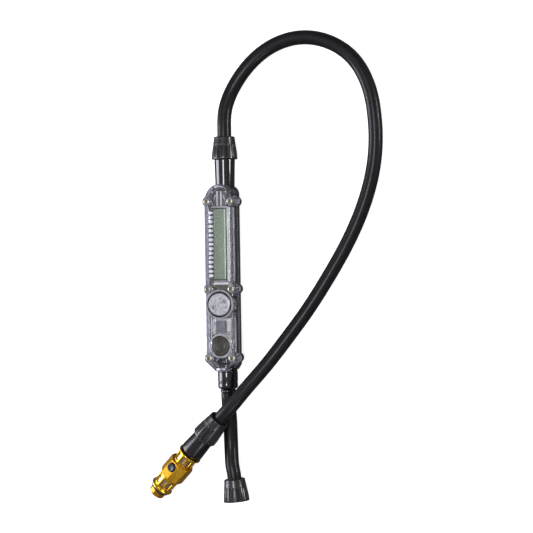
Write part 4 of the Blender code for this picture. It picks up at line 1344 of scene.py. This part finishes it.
def make_chuck_stem():
    """The black stem that the chuck turns on, from the thread under its nut to its neck."""
    start = -21.15
    skirt = -13.2
    rings = [(start, 1.4), (start, 4.2)]
    rings += thread_rings(SPIGOT_THREAD_R, SPIGOT_THREAD_DEPTH, start + 0.3, skirt - 0.4)
    rings += softened([
        (skirt - 0.3, 4.4), (skirt, 4.6), (skirt, 5.75), (skirt + 0.35, 6.1), (-3.4, 6.62), (-2.4, 6.7),
        (-1.4, 6.7), (-0.5, 6.35), (0.0, 5.6), (0.0, 3.1), (1.8, 3.1), (1.8, 2.4), (3.2, 2.4), (3.2, 3.1),
        (4.2, 3.1), (4.2, 2.5), (4.9, 2.5), (4.9, 3.1), (5.5, 2.9), (5.5, 1.4),
    ], 0.18)
    return put("chuck_stem", lathe(rings, closed=True), CHUCK_LINE, "gauge", "black_anodised",
               "spigot_black", ["chuck_spigot"])


def make_insert():
    """The orange end with a finely fluted rim and the thread that takes the valve."""
    def fluted(base):
        return lambda angle: base - 0.12 * ramped(math.cos(angle * 24), 0.2, 0.9)

    rings = [
        (22.8, 1.8), (22.8, 4.5), (31.0, 4.5), (31.05, 4.7), (31.25, 4.8), (31.6, fluted(4.8)),
        (CHUCK_TIP - 0.9, fluted(4.8)), (CHUCK_TIP - 0.6, 4.8), (CHUCK_TIP - 0.2, 4.7), (CHUCK_TIP, 4.45),
        (CHUCK_TIP, 4.2), *thread_rings(3.9, 0.28, CHUCK_TIP - 0.25, 27.3, -0.1, 0.8), (27.0, 3.9),
        (27.0, 1.8),
    ]
    return put("chuck_insert", lathe(rings, 144, closed=True), CHUCK_LINE, "chuck", "orange_anodised",
               "orange_anodised", ["thread_insert"])


def make_chuck_small():
    """The seal behind the insert and the bleed button."""
    section = softened([
        (29.46, 4.56), (29.46, 5.55), (29.7, 5.75), (30.75, 5.75), (31.0, 5.5), (31.0, 4.56), (29.46, 4.56),
    ], 0.12)
    ring = lathe(section[:-1], 96, closed=True)
    seal = put("insert_ring", ring, CHUCK_LINE, "chuck", "seal_rubber", "seal_black", ["insert_seal"])
    rings = softened([
        (2.9, 0.8), (6.2, 0.8), (6.2, 2.6), (7.65, 2.6), (7.95, 2.25), (8.0, 1.9), (7.85, 1.2), (7.82, 0.4),
    ], 0.15)
    place = CHUCK_LINE @ BLEED_PLACE
    bleed = put("bleed_disc", lathe(rings, 48), place, "bleed_button", "button_plastic", "bleed_black",
                ["bleed_button"])
    return seal, bleed


chuck_body = make_chuck_body()
chuck_stem = make_chuck_stem()
chuck_insert = make_insert()
insert_ring, bleed_disc = make_chuck_small()


# ---- nodes that stay as they are

NODE_LOOKS = {
    "seal_black": "tube_seal_top tube_seal_bottom sensor_seal pump_seal swivel_seal valve_seal",
    "screw_steel": "pressure_sensor swivel_clip bleed_spring",
    "board_laminate": "circuit_board",
    "bridge_grey": "button_switch",
    "carrier_pale": "lcd_frame",
    "cell_steel": "coin_cell",
    "contact_brass": "cell_contact_centre cell_contact_ring outlet_hose_tail chuck_hose_tail pump_hose_tail "
                     "core_pin",
    "washer_nylon": "outlet_nut_washer chuck_nut_washer",
}


def dress_nodes():
    """Gives every node that is still shown its finish."""
    for look, names in NODE_LOOKS.items():
        for name in names.split():
            thing = frame["nodes"][name]
            if not thing.material_slots:
                thing.data.materials.append(LOOKS[look])
            for slot in thing.material_slots:
                slot.material = LOOKS[look]


dress_nodes()


# ---- cords, floor and light

def declare_cords():
    """Says what the two hoses are and what is on them."""
    chuck_end = [chuck_nut, chuck_stem, chuck_body, chuck_insert, insert_ring, bleed_disc]
    chuck_nodes = ["chuck_hose_tail", "chuck_nut_washer", "swivel_seal", "swivel_clip", "valve_seal",
                   "core_pin", "bleed_spring"]
    outlet_nodes = ["outlet_hose_tail", "outlet_nut_washer"]
    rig.cord(outlet_hose, exit=outlet_path[0], length=0.3516, diameter=2 * HOSE_R * MM, far_end="fitting",
            stiffness="stiff", lay="loose", path=outlet_path,
            with_pieces=[outlet_nut, *outlet_nodes, *chuck_end, *chuck_nodes])
    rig.cord(inlet_hose, exit=inlet_path[0], length=0.0517, diameter=2 * HOSE_R * MM, far_end="fitting",
            stiffness="stiff", lay="loose", path=inlet_path,
            with_pieces=[pump_nut, "pump_hose_tail", "pump_seal"])


def make_floor():
    """A plain white table."""
    mesh = bpy.data.meshes.new("floor")
    reach = 3.0
    level = -0.00015
    corners = [(x * reach, y * reach, level) for x, y in ((-1, -1), (1, -1), (1, 1), (-1, 1))]
    mesh.from_pydata(corners, [], [(0, 1, 2, 3)])
    floor = bpy.data.objects.new("floor", mesh)
    SCENE.collection.objects.link(floor)
    made, tree, shader = new_material("floor_white")
    seen = tree.nodes.new("ShaderNodeLightPath")
    tone = blended(tree, seen.outputs["Is Camera Ray"], (0.20, 0.20, 0.21), (0.90, 0.90, 0.90), 0.0, 1.0)
    tree.links.new(tone, shader.inputs["Base Color"])
    glow = add(tree, "ShaderNodeMapRange", From_Min=0.0, From_Max=1.0, To_Min=0.0, To_Max=0.80)
    tree.links.new(seen.outputs["Is Camera Ray"], glow.inputs["Value"])
    shader.inputs["Emission Color"].default_value = (1.0, 1.0, 1.0, 1.0)
    tree.links.new(glow.outputs["Result"], shader.inputs["Emission Strength"])
    shader.inputs["Roughness"].default_value = 0.9
    shader.inputs["Specular IOR Level"].default_value = 0.0
    mesh.materials.append(made)
    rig.stage(floor)


def make_world():
    """A white room that is brightest overhead."""
    world = bpy.data.worlds.new("room")
    SCENE.world = world
    world.use_nodes = True
    tree = world.node_tree
    background = tree.nodes["Background"]
    where = tree.nodes.new("ShaderNodeTexCoord")
    split = tree.nodes.new("ShaderNodeSeparateXYZ")
    tree.links.new(where.outputs["Generated"], split.inputs["Vector"])
    sky = blended(tree, split.outputs["Z"], (0.08, 0.08, 0.09), (0.36, 0.36, 0.38), 0.0, 0.9)
    seen = tree.nodes.new("ShaderNodeLightPath")
    mix = tree.nodes.new("ShaderNodeMix")
    mix.data_type = "RGBA"
    tree.links.new(seen.outputs["Is Camera Ray"], mix.inputs["Factor"])
    tree.links.new(sky, mix.inputs["A"])
    mix.inputs["B"].default_value = (1.0, 1.0, 1.0, 1.0)
    tree.links.new(mix.outputs["Result"], background.inputs["Color"])
    background.inputs["Strength"].default_value = 1.0


def make_light(name, direction, distance, size, power, colour=(1.0, 1.0, 1.0), aim=(0.02, 0.0, 0.01)):
    """A soft box in a direction from the object, facing it."""
    data = bpy.data.lights.new(name, "AREA")
    data.shape = "RECTANGLE"
    data.size, data.size_y = size
    data.energy = power
    data.color = colour
    light = bpy.data.objects.new(name, data)
    way = Vector(direction).normalized()
    light.location = Vector(aim) + way * distance
    light.rotation_euler = way.to_track_quat("Z", "Y").to_euler()
    light.visible_camera = False
    SCENE.collection.objects.link(light)


def light_from(angle):
    """A direction in the plane across the housing, in degrees from straight up towards +X."""
    return (math.sin(math.radians(angle)), 0.0, math.cos(math.radians(angle)))


def make_lights():
    """A soft box overhead, a large cool one low on the left, a strip low on the right and a weak fill."""
    make_light("overhead", light_from(3.0), 1.3, (0.44, 0.26), 5.2, aim=(0.02, 0.05, 0.01))
    make_light("left", light_from(-76.0), 1.0, (0.45, 0.9), 9.5, (0.88, 0.88, 1.0))
    make_light("right", light_from(82.0), 1.1, (0.34, 0.12), 4.0, (1.0, 0.99, 0.97), aim=(0.02, 0.29, 0.01))
    make_light("front", (0.35, -0.8, 0.65), 1.4, (0.4, 0.4), 2.0)


declare_cords()
make_floor()
make_world()
make_lights()

low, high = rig.bounds()
with open("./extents.json", "w") as file:
    json.dump({"cad": [list(CAD_LOW), list(CAD_HIGH)], "visual": [list(low), list(high)]}, file)
